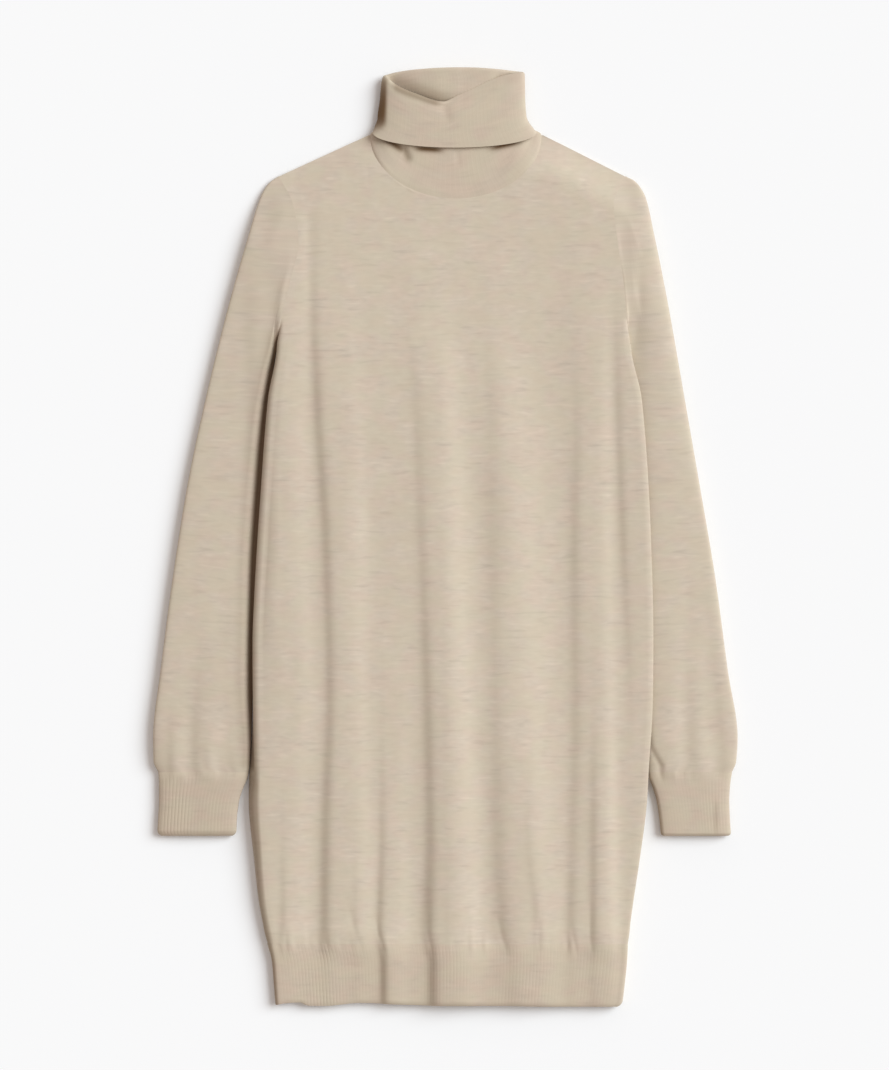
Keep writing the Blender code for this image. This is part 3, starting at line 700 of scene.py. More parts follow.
def skirt_levels(end):
    """Heights of the rows from the underarm down to the rib, closer together above the rib."""
    reach = end + GATHER_REACH
    coarse = np.linspace(UNDERARM, reach, round((UNDERARM - reach) / SKIRT_STEP) + 1)
    fine = np.linspace(reach, end, round(GATHER_REACH / GATHER_STEP) + 1)
    return np.concatenate((coarse, fine[1:-1], [end + 0.6, end]))


def front_points():
    """The front, from its shoulders and neckline down to the rib."""
    top_x, top_y = top_edge(FRONT_NECK_DEPTH, WALL_STEPS, SHOULDER_STEPS, NECK_STEPS)
    wall = body_sections([UNDERARM], WALL_STEPS, TOP_STEPS)[0]
    low, high = wall[0, 0], wall[-1, 0]
    insets = np.linspace(0, ARMHOLE_LIP, WALL_STEPS + 1)[:-1]
    inner = np.linspace(low + ARMHOLE_LIP, high - ARMHOLE_LIP, TOP_STEPS + 1)
    chest_x = np.concatenate((low + insets, inner, (high - insets)[::-1]))
    x, y = yoke_plan(top_x, top_y, chest_x, end_spaced(YOKE_STEPS)[:-1], NECK_STEPS, fan=NECK_FAN)
    inside = slice(WALL_STEPS + 1, -WALL_STEPS - 1)
    across = np.linspace(0, 1, TOP_STEPS + 1)[None, 1:-1]
    reach = mix(LEFT_TURN_REACH, RIGHT_TURN_REACH, across)
    turned = ramp(UNDERARM + reach, UNDERARM, mix(y[:, :1], y[:, -1:], across))
    x[:, inside] += turned * (wall[inside, 0] - chest_x[inside])
    z = front_height(x, y)
    left = (slice(0, WALL_STEPS + 1), 0, LEFT_TURN_REACH)
    right = (slice(-WALL_STEPS - 1, None), -1, RIGHT_TURN_REACH)
    for ends, edge, reach in (left, right):
        turned = ramp(UNDERARM + reach, UNDERARM, y[:, [edge]])
        x[:, ends] = mix(x[:, ends], x[:, [edge]] + wall[ends, 0] - wall[edge, 0], turned)
        z[:, ends] = mix(z[:, ends], wall[ends, 2], turned)
    skirt = body_sections(skirt_levels(RIB_TOP + SEAM_ROOM), WALL_STEPS, TOP_STEPS)
    return np.concatenate((np.stack((x, y, z), 2), skirt), 0)


def across_back(levels, wall, columns):
    """X of points from one side wall's foot to the other's, at each level."""
    left, right = read(BODY, "left_foot right_foot", levels[:, None])
    return mix(left - 0.5 * wall, right + 0.5 * wall, np.linspace(0, 1, columns)[None, :])


def back_points():
    """The back, flat on the surface, from its shoulders and neckline down to the rib."""
    top_x, top_y = top_edge(BACK_NECK_DEPTH, 0, BACK_SHOULDER_STEPS, BACK_NECK_STEPS)
    levels = np.linspace(UNDERARM, RIB_TOP + SEAM_ROOM, BACK_LEVELS)
    low_x = across_back(levels, JERSEY, len(top_x))
    parts = end_spaced(BACK_YOKE_STEPS)[:-1]
    x, y = yoke_plan(top_x, top_y, low_x[0], parts, BACK_NECK_STEPS, bow=BACK_ARMHOLE_BOW)
    x = np.concatenate((x, low_x))
    y = np.concatenate((y, np.broadcast_to(levels[:, None], low_x.shape)))
    loose = 0.35 * (1 + rumple(x, y, 26, 150, 11))
    return np.stack((x, y, 0.5 * JERSEY + loose), 2)


def ring_parts(points):
    """Part of the way across, and side (1 top, -1 bottom), of each point of a flattened ring."""
    half = points // 2
    part = 0.5 - 0.5 * np.cos(np.pi * np.arange(points) / half)
    side = np.where(np.arange(points) <= half, 1, -1)
    return part[None, :], side[None, :]


def lift(part, fullness):
    """Half height, 0 to 1, of a flattened ring a part of the way from one end to the other."""
    return np.maximum(0, 1 - np.abs(2 * part - 1) ** fullness) ** (1 / fullness)


SLEEVE_POINTS = 2 * YOKE_STEPS
SLEEVE_ROWS = 150
UNDERARM_SEAM = 0.6
RIGHT_SEAM_ROWS = 2.5  # over which the right sleeve comes down from the seam
RIGHT_CAP_LIFT = 1.8


def sleeve_rows():
    """How far down the sleeve each of its rings lies, 0 to 1, closer together at both ends."""
    start = np.linspace(0, 0.06, 22)[:-1]
    middle = np.linspace(0.06, 0.93, SLEEVE_ROWS)[:-1]
    return np.concatenate((start, middle, np.linspace(0.93, 1, 26)))


def clear_of_wall(points, side, nearest):
    """The points, none of them nearer than BESIDE_WALL to the body's side wall or to the back."""
    inward = 1 if side == "left" else -1
    x, y, z = xyz(points[nearest])
    wall_x, wall_z = side_wall(y[:, None], side, LIP_ROUND, np.linspace(0, 1, 25)[None, :])
    limit = np.array([np.interp(*spot) for spot in zip(z, wall_z, wall_x)])
    foot = read(BODY, side + "_foot", y) - inward * JERSEY
    limit = np.where(z < wall_z[:, 0], foot, limit) - inward * BESIDE_WALL
    kept = np.minimum(x, limit) if side == "left" else np.maximum(x, limit)
    points[nearest, 0] = mix(x, kept, ramp(UNDERARM + 6, UNDERARM - 8, y))
    return points


def sleeve_points(table, form, armhole_table, edge_z, outward, underarm_blend):
    """Rings of a sleeve. edge_z is the front's edge height at each of end_spaced's parts."""
    along = sleeve_rows()[:, None]
    part, side = ring_parts(SLEEVE_POINTS)
    out_x, out_y, in_x, in_y, height = read(table, "out_x out_y in_x in_y height", along)
    outer, inner, slip = read(form, "outer inner slip", along)
    bow = 1 - ramp(0, 2 * ARMHOLE_BLEND, along)
    tied = 1 - ramp(0, mix(ARMHOLE_BLEND, underarm_blend, ramp(0.55, 0.85, part)), along)
    hole_x, hole_y = armhole(armhole_table, part, np.where(side > 0, 1, BACK_ARMHOLE_BOW))
    x = mix(out_x, in_x, part) + bow * (hole_x - mix(table[0].out_x, table[0].in_x, part))
    y = mix(out_y, in_y, part) + bow * (hole_y - mix(table[0].out_y, table[0].in_y, part))
    x = x + outward * tied * UNDERARM_SEAM * ramp(0.7, 1, part)
    x = x - outward * slip * ramp(0.6, 1, part)
    bottom = 0.5 * JERSEY
    middle_z = 0.5 * (height + bottom)
    free_z = middle_z + (height - middle_z) * side * lift(part, mix(outer, inner, part))
    if outward < 0:
        edge_x, out, soft, opened = read(CREVICE, "x out soft open", y)
        low = opened * (1 - ramp(out - 0.8 * soft, out + soft, edge_x - x)) * ramp(0.3, 0.6, part)
        free_z = mix(free_z, bottom + 0.5 * LAID_GAP * (1 + side * lift(part, 12)), low)
    edge = np.interp(part, end_spaced(YOKE_STEPS), edge_z)
    tied_z = mix(0.5 * (edge + bottom), np.where(side > 0, edge, bottom), lift(part, 12))
    points = np.stack((x, y, mix(free_z, tied_z, tied)), 2)
    nearest = np.broadcast_to(part > 0.6, points.shape[:2])
    return clear_of_wall(points, "left" if outward < 0 else "right", nearest)


ROLL_STEPS = np.cos(np.linspace(0, 0.5 * np.pi, 9))[1:]  # down to an edge, closer at its end


def cuff_points(table, roll, rows, turn):
    """Rings of a cuff. turn is how far round the ring each point lies, 0 to 2."""
    y = np.linspace(table[0].y, table[-1].y + roll, rows + 1)
    y = np.concatenate((y[:1], [y[0] - 0.6], y[1:], table[-1].y + roll * ROLL_STEPS))[:, None]
    part = 0.5 - 0.5 * np.cos(np.pi * turn)[None, :]
    side = np.where(turn <= 1, 1, -1)[None, :]
    left, right, height = read(table, "left right height", y)
    near_end = np.clip(1 - (y - table[-1].y) / roll, 0, 1)
    inset = roll * (1 - np.sqrt(1 - 0.9 * near_end**2))
    bottom = 0.5 * RIB
    half = 0.5 * (height - bottom)
    z = bottom + half + side * half * lift(part, SLEEVE_FULLNESS)
    return np.stack((mix(left + inset, right - inset, part), np.broadcast_to(y, z.shape), z), 2)


def even_turns(table, roll, points):
    """Places round a cuff's ring, 0 to 2, that are evenly far apart."""
    dense = np.linspace(0, 2, 2001)
    length = run_length(cuff_points(table, roll, 8, dense)[5])
    return np.interp(np.linspace(0, length[-1], points + 1)[:-1], length, dense)


def collar_section(along, part, side):
    """Points of the collar's middle plane, along its section and part of the way across."""
    across = 2 * part - 1
    on_front = side > 0
    full = lift(part, COLLAR_FULLNESS)
    rise = side * full
    rim_x = COLLAR_X + read(COLLAR_WIDTH, "half", along) * across
    front_rim, back_rim = read(RIM, "front back", across)
    rim_y = np.where(on_front, front_rim, back_rim)

    stand = np.clip(along, 0, 1)
    depth = np.where(on_front, FRONT_NECK_DEPTH, BACK_NECK_DEPTH)
    seam_x, seam_y = neck_point(np.arccos(np.clip(-across, -1, 1)), depth)
    back_z = 0.5 * RIB
    seam_z = np.where(on_front, front_height(seam_x, seam_y), back_z)
    seam_z = np.where((part <= 0) | (part >= 1), 0.5 * (SHOULDER_EDGE + back_z), seam_z)
    settled = ramp(np.where(on_front, 0, STAND_FLAT), STAND_SETTLED, stand)
    stand_x = mix(seam_x, rim_x, ramp(0, STAND_NARROWED, stand))
    stand_y = mix(seam_y, rim_y - FOLD_RADIUS, stand)
    stand_z = mix(seam_z, COLLAR_MID + STAND_HALF * rise, settled)

    turn = np.pi * np.clip(along - 1, 0, 1)
    fold_y = rim_y - FOLD_RADIUS * (1 - np.sin(turn))
    fold_z = COLLAR_MID + (STAND_HALF + FOLD_RADIUS * (1 - np.cos(turn))) * rise

    bowed = np.sqrt(np.maximum(0, 1 - across * across))
    edge_y = TURNDOWN_SIDE - np.where(on_front, TURNDOWN_FRONT_DEPTH, -TURNDOWN_BACK_RISE) * bowed
    down_y = mix(rim_y - FOLD_RADIUS, edge_y, np.clip(along - 2, 0, 1))

    layers = [along <= 1, along <= 2]
    x = np.where(layers[0], stand_x, rim_x)
    y = np.select(layers, [stand_y, fold_y], down_y)
    z = np.select(layers, [stand_z, fold_z], COLLAR_MID + TURNDOWN_HALF * rise)

    # The front sinks towards its rim, and beyond it the inside of the back comes up to meet it
    sink, reach, most, climb = read(OPENING, "sink reach rise climb", across)
    off_rim = y - front_rim
    sunk = sink * ramp(1, 0, -off_rim / reach) * (ramp(0.5, 1, along) * full)
    inside = ramp(0.35, 0.75, stand) * 0.5 * (1 + np.cos(turn)) * full
    risen = most * ramp(np.minimum(-1.5 * climb, climb - 2.8), climb, off_rim)
    z = z + np.where(on_front, -sunk, risen * inside)

    # The roll's left side slopes outwards
    low = ramp(15, 3, z) * ramp(0.9, 1.2, along)
    spread = read(LEFT_SPREAD, "out", y) * low * ramp(-0.8, -1, across)
    return np.stack((x - spread, y, z), 2)


def dent(spot, x, y):
    """How deep in a dent each place is, from 0 outside it to 1 in its middle."""
    lean = math.radians(spot.lean)
    along = (x - spot.x) * math.cos(lean) + (y - spot.y) * math.sin(lean)
    across = (y - spot.y) * math.cos(lean) - (x - spot.x) * math.sin(lean)
    return np.exp(-((along / spot.long) ** 4) - (across / spot.short) ** 2)


def darkest(dents, x, y):
    """How much shade is painted at each place, the most that any of the dents paints."""
    return np.max([spot.shade * dent(spot, x, y) for spot in dents], axis=0)


COLLAR_POINTS = 420
STAND_STEPS = 56
FOLD_STEPS = 8
TURNDOWN_STEPS = 30
FOLD_ROW = STAND_STEPS + 2  # the first row of the fold


def collar_points():
    """The collar, from its seam up the stand, round the fold and down the turndown."""
    stand = np.linspace(0.03, 1, STAND_STEPS)
    fold = 1 + np.linspace(0, 1, FOLD_STEPS + 1)[1:]
    down = 2 + np.linspace(0, 1, TURNDOWN_STEPS + 1)[1:-1]
    along = np.concatenate(([0, 0.012], stand, fold, down, [2.988, 3]))[:, None]
    dense = end_spaced(300)[None, :]
    front, back = (
        evenly(collar_section(along, dense, side * np.ones_like(dense)), COLLAR_POINTS // 2 + 1)
        for side in (1, -1)
    )
    for edge in (0, -1):
        front[:, edge] = 0.5 * (front[:, edge] + back[:, edge])
    return np.concatenate((front, back[:, -2:0:-1]), 1)


# ---- From points to cloth ----


def normals(points, closed):
    """The directions out of the cloth, at each of its points."""
    along = np.gradient(points, axis=0)
    if closed:
        across = 0.5 * (np.roll(points, -1, 1) - np.roll(points, 1, 1))
    else:
        across = np.gradient(points, axis=1)
    out = np.cross(along, across)
    return out / np.maximum(1e-9, np.linalg.norm(out, axis=2, keepdims=True))


def raised(points, closed, heights):
    """The points moved along the surface's own normals."""
    return points + normals(points, closed) * heights[..., None]


def across_length(points, closed, lean=0):
    """How far across the cloth each point lies, from the middle of its row or from its start.

    lean is the angle by which the cloth's wales lean away from Y.
    """
    if closed:
        points = wrapped(points)
    x, y, z = xyz(points)
    level = x * math.cos(lean) + y * math.sin(lean)
    steps = np.hypot(np.diff(level, axis=1), np.diff(z, axis=1))
    length = np.concatenate((np.zeros((len(points), 1)), np.cumsum(steps, 1)), 1)
    middle = 0 if closed else length.shape[1] // 2
    return length - length[:, [middle]]


def hung(points, edge, distance, reach):
    """The points, moved so that their first row lies on a neighbour's edge."""
    return points + (edge - points[0]) * bell(distance / reach)[..., None]


def cloth(node, slot, points, weave, wall, closed, flip=False, shade=0, seam=None):
    """The cloth that stands for a CAD node, with both faces and all its edges.

    It is made from the grid of its middle plane. weave is the place of each point on the knitting,
    across and along it. seam gives the directions across the wall along the first row, for the
    columns where they are known.
    """
    rows, columns = points.shape[:2]
    out = normals(points, closed) * (-1 if flip else 1)
    if seam is not None:
        out[0, seam[0]] = seam[1]
    half = 0.5 * np.broadcast_to(np.asarray(wall, float).reshape(-1, 1, 1), (rows, 1, 1)) * out
    vertices = np.concatenate(((points + half).reshape(-1, 3), (points - half).reshape(-1, 3)))
    spans = columns if closed else columns - 1
    row, column = np.divmod(np.arange((rows - 1) * spans), spans)
    corner_rows = np.stack((row, row + 1, row + 1, row), 1)
    corner_columns = np.stack((column, column, column + 1, column + 1), 1)
    if flip:
        corner_rows, corner_columns = corner_rows[:, ::-1], corner_columns[:, ::-1]
    outer = corner_rows * columns + corner_columns % columns
    place = weave[corner_rows, corner_columns]
    sheet = np.stack((corner_columns / spans, 0.48 * corner_rows / (rows - 1)), 2)
    faces = [outer, outer[:, ::-1] + rows * columns]
    places = [place, place[:, ::-1]]
    bakes = [sheet, sheet[:, ::-1] + (0, 0.49)]

    def corners(values):
        return np.stack((values[:-1], values[1:], values[1:], values[:-1]), 1)

    def rim(edge_rows, edge_columns, reverse):
        """The strip between the two faces along an edge."""
        strip = corners(edge_rows * columns + edge_columns % columns)
        strip[:, 2:] += rows * columns
        across = corners(np.linspace(0, 1, len(edge_rows)))
        low = 0.975 + 0.006 * (len(faces) - 2)
        up = np.broadcast_to((low, low, low + 0.004, low + 0.004), across.shape)
        found = (strip, corners(weave[edge_rows, edge_columns]), np.stack((across, up), 2))
        for group, values in zip((faces, places, bakes), found):
            group.append(values[:, ::-1] if reverse else values)

    all_columns, all_rows = np.arange(spans + 1), np.arange(rows)
    rim(0 * all_columns, all_columns, flip)
    rim(0 * all_columns + rows - 1, all_columns, not flip)
    if not closed:
        rim(all_rows, 0 * all_rows, not flip)
        rim(all_rows, 0 * all_rows + columns - 1, flip)

    mesh = bpy.data.meshes.new(node + "_cloth")
    mesh.from_pydata(vertices * MM, [], np.concatenate(faces).tolist())
    for layer, spots in (("weave", np.concatenate(places) * MM), ("OFBake", np.concatenate(bakes))):
        mesh.uv_layers.new(name=layer).data.foreach_set("uv", spots.astype(np.float32).ravel())
    # Painted shade, point by point, on both faces of the cloth
    tint = np.tile((shade + np.zeros((rows, columns))).ravel(), 2).astype(np.float32)
    mesh.attributes.new("shade", "FLOAT", "POINT").data.foreach_set("value", tint)
    mesh.shade_smooth()
    harden_rims(mesh, rows, columns, closed)
    mesh.materials.append(KNITS[slot])
    piece = bpy.data.objects.new(node + "_cloth", mesh)
    bpy.context.scene.collection.objects.link(piece)
    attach(piece, "root")
    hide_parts(node)


def harden_rims(mesh, rows, columns, closed):
    """Marks the cloth's own edges sharp, so that a seam between two pieces shades as one cloth."""
    ends = np.zeros(2 * len(mesh.edges), int)
    mesh.edges.foreach_get("vertices", ends)
    face, spot = np.divmod(ends.reshape(-1, 2), rows * columns)
    row, column = np.divmod(spot, columns)
    on_end_row = (row[:, 0] == row[:, 1]) & np.isin(row[:, 0], (0, rows - 1))
    on_end_column = (column[:, 0] == column[:, 1]) & np.isin(column[:, 0], (0, columns - 1))
    sharp = (face[:, 0] == face[:, 1]) & (on_end_row | (on_end_column & (not closed)))
    mesh.attributes.new("sharp_edge", "BOOLEAN", "EDGE").data.foreach_set("value", sharp)


# ---- The knit ----


class Nodes:
    """A material's node tree, with short ways to add and join nodes."""

    def __init__(self, name):
        self.material = bpy.data.materials.new(name)
        self.material.use_nodes = True
        self.tree = self.material.node_tree
        self.shader = self.tree.nodes["Principled BSDF"]

    def feed(self, node, values):
        """Sets a node's inputs, in order or by name, to values or to other nodes' outputs."""
        for key, value in values.items() if isinstance(values, dict) else enumerate(values):
            if isinstance(value, bpy.types.NodeSocket):
                self.tree.links.new(value, node.inputs[key])
            else:
                node.inputs[key].default_value = value

    def add(self, kind, values=(), output=0, **settings):
        """Adds a node with these settings and inputs, and gives one of its outputs."""
        node = self.tree.nodes.new("ShaderNode" + kind)
        for key, value in settings.items():
            setattr(node, key, value)
        self.feed(node, values)
        return node.outputs[output]

    def math(self, operation, *values):
        return self.add("Math", values, operation=operation)

    def place(self, x, y, z=0.0):
        return self.add("CombineXYZ", (x, y, z))

    def noise(self, vector, scale=1.0, detail=2.0, roughness=0.5):
        values = {"Vector": vector, "Scale": scale, "Detail": detail, "Roughness": roughness}
        return self.add("TexNoise", values, "Fac")

    def spread(self, *values):
        """A soft step: the value, its range, and what the range becomes."""
        return self.add("MapRange", values, interpolation_type="SMOOTHSTEP")

    def blend(self, factor, a, b, kind="MIX"):
        values = {"Factor": factor, "A": a, "B": b}
        return self.add("Mix", values, "Result", data_type="RGBA", blend_type=kind)


def knit(name, colour, wale, course, heather):
    """Heathered fine knit: yarn that changes along each course, stitches, a soft nap and painted
    shade.
    """
    n = Nodes(name)
    weave_x = n.add("SeparateXYZ", (n.add("UVMap", output="UV", uv_map="weave"),), "X")
    u = n.math("MULTIPLY", weave_x, 1000.0)
    v = n.math("MULTIPLY", weave_x.node.outputs["Y"], 1000.0)

    def patches(width, height, layer=0.0, detail=1.0):
        """Soft noise in patches of about that size."""
        spot = n.place(n.math("DIVIDE", u, width), n.math("DIVIDE", v, height), layer)
        return n.noise(spot, detail=detail)

    def times(value, factor, more):
        return n.math("MULTIPLY_ADD", value, factor, more)

    # Heather: the yarn's shade drifts along each course, with longer flecks here and there
    yarn, fleck = patches(11.0, 3.9), patches(20.0, 3.4, 7.3, 0.0)
    tone = times(n.math("SUBTRACT", yarn, 0.5), 0.19 * heather, 1.0)
    tone = times(n.spread(fleck, 0.64, 0.80, 0.0, 1.0), 0.06 * heather, tone)
    tone = times(n.spread(fleck, 0.36, 0.20, 0.0, 1.0), -0.08 * heather, tone)
    tone = times(n.math("SUBTRACT", patches(26.0, 38.0, 3.1, 2.0), 0.5), 0.10, tone)
    base = n.blend(1.0, (*colour, 1.0), n.place(tone, tone, tone), "MULTIPLY")
    warm = n.spread(patches(18.0, 12.0, 9.7), 0.3, 0.7, 0.0, 0.22)
    base = n.blend(warm, base, (0.64, 0.46, 0.36, 1.0))
    straw = n.spread(patches(24.0, 22.0, 14.2), 0.35, 0.65, 0.0, 0.35)
    base = n.blend(straw, base, (0.585, 0.53, 0.385, 1.0))

    # Stitches: a column of V-shaped loops for each wale
    column = n.math("DIVIDE", u, wale)
    arm = n.math("ABSOLUTE", n.math("SUBTRACT", n.math("FRACT", column), 0.5))
    slant = times(arm, -1.1, n.math("DIVIDE", v, course))
    loop = n.math("SINE", n.math("MULTIPLY", slant, 2.0 * math.pi))
    groove = n.math("COSINE", n.math("MULTIPLY", column, 2.0 * math.pi))
    height = times(loop, 0.12, n.math("MULTIPLY", groove, -0.14))
    fuzz = n.noise(n.place(u, v), scale=2.4, detail=3.0, roughness=0.7)
    height = times(fuzz, 1.6, height)
    bump = n.add("Bump", {"Strength": 0.30, "Distance": 0.00016, "Height": height}, "Normal")
    depth = n.math("MULTIPLY", times(groove, -0.5, 0.5), 0.012)
    base = n.blend(depth, base, (0.30, 0.24, 0.18, 1.0))

    # Painted shade: the cloth's shade attribute mixes the colour towards a dark warm brown
    shade = n.add("Attribute", (), "Fac", attribute_name="shade")
    base = n.blend(shade, base, (0.13, 0.065, 0.022, 1.0))
    looks = {"Base Color": base, "Normal": bump, "Roughness": 0.9, "Specular IOR Level": 0.18}
    nap = {"Sheen Weight": 0.18, "Sheen Roughness": 0.45, "Sheen Tint": (1.0, 0.95, 0.88, 1.0)}
    n.feed(n.shader, looks | nap)
    return n.material


KNITS = {
    "jersey": knit("jersey_knit", (0.596, 0.509, 0.410), 1.2, 0.9, 1.0),
    "rib": knit("rib_knit", (0.556, 0.465, 0.366), 1.7, 0.9, 0.6),
}

# ---- The dress ----

CUFF_RELIEF = 0.15
HEM_RELIEF = 0.1
COLLAR_RELIEF = 0.02
COURSE_LEAN = -0.3  # of the sleeve's own lean
# Painted shade over the left sleeve, which the body keeps from the light
LEFT_SLEEVE_SHADE = 0.035
SLEEVE_END_SHADE = 0.03
# Painted shade along the right armhole seam, to dim a bright line there
RIGHT_SEAM_SHADE = 0.22
LEFT_CUFF_SHADE = 0.1
RIGHT_CUFF_SHADE = 0.01
HEM_SHADE = 0.03
HEM_CORNER = 6
RIGHT_CUFF_SIDE_SHADE = 0.35  # painted shade down its left side, turned from the light

HEM_RIB_COUNT = 110
HEM_BACK_RIB_COUNT = 104
CUFF_RIB_COUNT = 48
COLLAR_RIB_COUNT = 80
HEM_STEPS = 660
HEM_BACK_STEPS = 480
HEM_WEAVE = 374  # how wide the knitting is, all the way across each rib
HEM_BACK_WEAVE = 350
CUFF_WEAVE = 160
COLLAR_WEAVE = 280
SEAM_REACH = 7  # over which a rib leaves its neighbour's edge
SEAM_ROWS = 8  # of a sleeve's rings, over which it leaves the front's edge

# How strongly the ribs show from place to place, where the cloth is more or less stretched
STRENGTH_COLUMNS = "x amount"
LEFT_CUFF_RIBS = tabled(
    STRENGTH_COLUMNS,
    (-290, 0.4),
    (-279, 0.85),
    (-260, 0.75),
    (-250, 0.4),
    (-234, 0.45),
    (-220, 0.3),
    (-208, 0.1),
)
RIGHT_CUFF_RIBS = tabled(
    STRENGTH_COLUMNS,
    (200, 0.06),
    (228, 0.12),
    (254, 0.2),
    (268, 0.45),
    (276, 0.3),
    (286, 0.08),
)
HEM_RIBS = tabled(
    STRENGTH_COLUMNS,
    (-172, 0.15),
    (-150, 0.55),
    (-122, 0.95),
    (-98, 0.7),
    (-78, 0.35),
    (-58, 0.15),
    (-28, 0.2),
    (-6, 0.5),
    (14, 0.4),
    (34, 0.08),
    (56, 0.45),
    (78, 0.65),
    (100, 0.3),
    (122, 0.2),
    (142, 0.75),
    (162, 0.55),
    (176, 0.15),
)
EVEN_RIBS = tabled(STRENGTH_COLUMNS, (-1000, 0.8), (1000, 0.8))

# Painted brown shade in the folds that run on through the hem rib; the cloth is not dented
HEM_FOLD_SHADE = tabled(
    DENT_COLUMNS,
    (-61.5, -438, 34, 3.6, 91, 0, 0.16),
    (-13, -440, 34, 4.4, 90, 0, 0.16),
)

# Painted brown shade in a fold down the right cuff; the cloth is not dented
CUFF_FOLD_SHADE = tabled(DENT_COLUMNS, (270, -281, 17, 2.6, 90, 0, 0.2))

# How far the hem's lower edge hangs below its level line
HEM_DROP = tabled(
    "x down",
    (-170, -1),
    (-160, -3.2),
    (-146, -4),
    (-136, -0.6),
    (-122, -0.4),
    (-84, -3.6),
    (-60, -2.8),
    (-14, -1.2),
    (60, -1),
    (110, -0.2),
    (172, 0),
)


def ribs(part, count, relief):
    """Heights of narrow ribs, with part running from 0 to 1 across all of them."""
    return relief * (2 * np.abs(np.sin(np.pi * count * part)) ** 0.8 - 1)


def uneven(table, x, y, away, seed):
    """How strongly the ribs show, setting in raggedly below their seam."""
    start = 1.5 + 3 * wander(x, 5, seed + 7)
    patches = 0.75 + 0.45 * rumple(x, y, 12, 22, seed)
    return read(table, "amount", x) * patches * ramp(start, start + 4, away) * ramp(0, 2, away)


def set_in(x, away, seed):
    """How far a rib's darkening has set in below its seam, raggedly from wale to wale."""
    return ramp(0, 12, away + 3.5 * wander(x, 6, seed + 3) * ramp(0, 6, away))


def seam_wall(away):
    """The rib's wall, as thin as the jersey's at their seam."""
    return mix(JERSEY, RIB, ramp(0, 4, away))


def rolled(z, to_end, bottom, amount, roll=EDGE_ROLL):
    """Heights that turn down towards an edge, as the edge of a rib rolls in a little."""
    near = np.clip(1 - to_end / roll, 0, 1)
    return z - amount * (z - bottom) * (1 - np.sqrt(1 - 0.96 * near**2))


def gathers(across, away, pitch, seed):
    """Small puckers that the rib draws into the cloth, fading away from their seam."""
    reach = 9 + 7 * wander(across, 2.3 * pitch, seed + 1)
    there = ramp(-0.5, 0.5, wander(across, 6 * pitch, seed + 2))
    return there * wander(across, pitch, seed) * np.exp(-away / reach)


def left_wall_shade(points):
    """Painted shade on the left side wall: brown at its edge, darker down in the crevice."""
    x, y, z = xyz(points)
    outside = read(BODY, "left_lip", y) - x
    edge = mix(0.46, 0.2, ramp(-250, -225, y)) * ramp(-1.5, 1.5, outside)
    steep = ramp(-150, -225, y)
    below_top = read(BODY, "height", y) - z
    deep = 0.62 * ramp(mix(3.5, 2, steep), mix(10, 6, steep), below_top) * (outside > 0)
    return np.maximum(edge, deep * ramp(-241, -231, y)) * ramp(222, 196, y)


def right_edge_shade(points):
    """Painted shade on the body's right edge, which is turned to the light, to dim its highlight."""
    x, y, _ = xyz(points)
    return 0.09 * ramp(-3.5, -0.5, x - read(BODY, "right_lip", y)) * ramp(360, 340, y)


def make_front():
    """The front, with its gathers above the hem rib and the small welt below the neckline."""
    points = front_points()
    x, y, _ = xyz(points)
    across = across_length(points, False)
    away = y - RIB_TOP
    puckers = 0.42 * gathers(across, away, 4.6, 21)
    blouse = 0.5 * bell((away - 11) / 8)
    to_neck = np.hypot((x - NECK_X) / NECK_HALF, (y - NECK_Y) / FRONT_NECK_DEPTH)
    off_neck = (to_neck - 1) * mix(FRONT_NECK_DEPTH, NECK_HALF, 0.3)
    beside = (0.08 + 0.8 * bell((x + 33) / 15)) * (0.65 + 0.55 * wander(x, 5, 17))
    welt = 0.4 * beside * bell(off_neck - 1.3) * (y < NECK_Y)
    points = raised(points, False, puckers + blouse + welt)
    weave = np.stack((across, points[..., 1]), 2)
    # Painted shade on the left side wall and along the right edge
    shade = np.maximum(left_wall_shade(points), right_edge_shade(points))
    cloth("front", "jersey", points, weave, JERSEY, False, shade=shade)
    return points


def make_back():
    """The back, plain and flat on the surface."""
    points = back_points()
    cloth("back", "jersey", points, points[..., :2], JERSEY, False)


def hem_levels():
    """Heights of the hem rib's rows, closer together at its seam and where its edge rolls in."""
    upper = np.linspace(RIB_TOP, HEM + EDGE_ROLL, 24)
    levels = np.concatenate((upper, HEM + EDGE_ROLL * ROLL_STEPS))
    return np.insert(levels, 1, levels[0] - 0.5)


def make_hem_front(levels, front):
    """The front half of the hem rib, which starts on the lower edge of the front."""
    points = evenly(body_sections(levels, 24, 400, lip_round=4), HEM_STEPS + 1)
    edge = evenly(front[-1:], HEM_STEPS + 1)[0]
    edge_out = evenly_read(normals(front, False)[-1], front[-1], HEM_STEPS + 1)
    part = shares(len(levels), HEM_STEPS + 1, HEM_STEPS)
    x, y, _ = xyz(points)
    away = RIB_TOP - y
    heights = ribs(part, HEM_RIB_COUNT, HEM_RELIEF) * uneven(HEM_RIBS, x, y, away, 31)
    points = hung(raised(points, False, heights), edge, away, SEAM_REACH)
    x, y, z = xyz(points)
    to_end = levels[:, None] - HEM
    z[:] = rolled(z, to_end, 2 * RIB, 0.3)
    corner = np.clip(1 - to_end / HEM_CORNER, 0, 1)
    on_right = ramp(HEM_CORNER * 2, 0, x[:, [-1]] - x)
    x -= HEM_CORNER * (1 - np.sqrt(1 - 0.9 * corner**2)) * on_right
    y -= read(HEM_DROP, "down", x) * ramp(12, 0, to_end)
    weave = np.stack((part * HEM_WEAVE, y), 2)
    # Painted shade in the folds and on the left side wall, and the rib's darkening below its seam
    fold_and_wall_shade = np.maximum(darkest(HEM_FOLD_SHADE, x, y), left_wall_shade(points))
    shade = HEM_SHADE * set_in(x, away, 37) + fold_and_wall_shade
    wall, seam = seam_wall(away[:, 0]), (slice(None), edge_out)
    cloth("hem_rib_front", "rib", points, weave, wall, False, shade=shade, seam=seam)


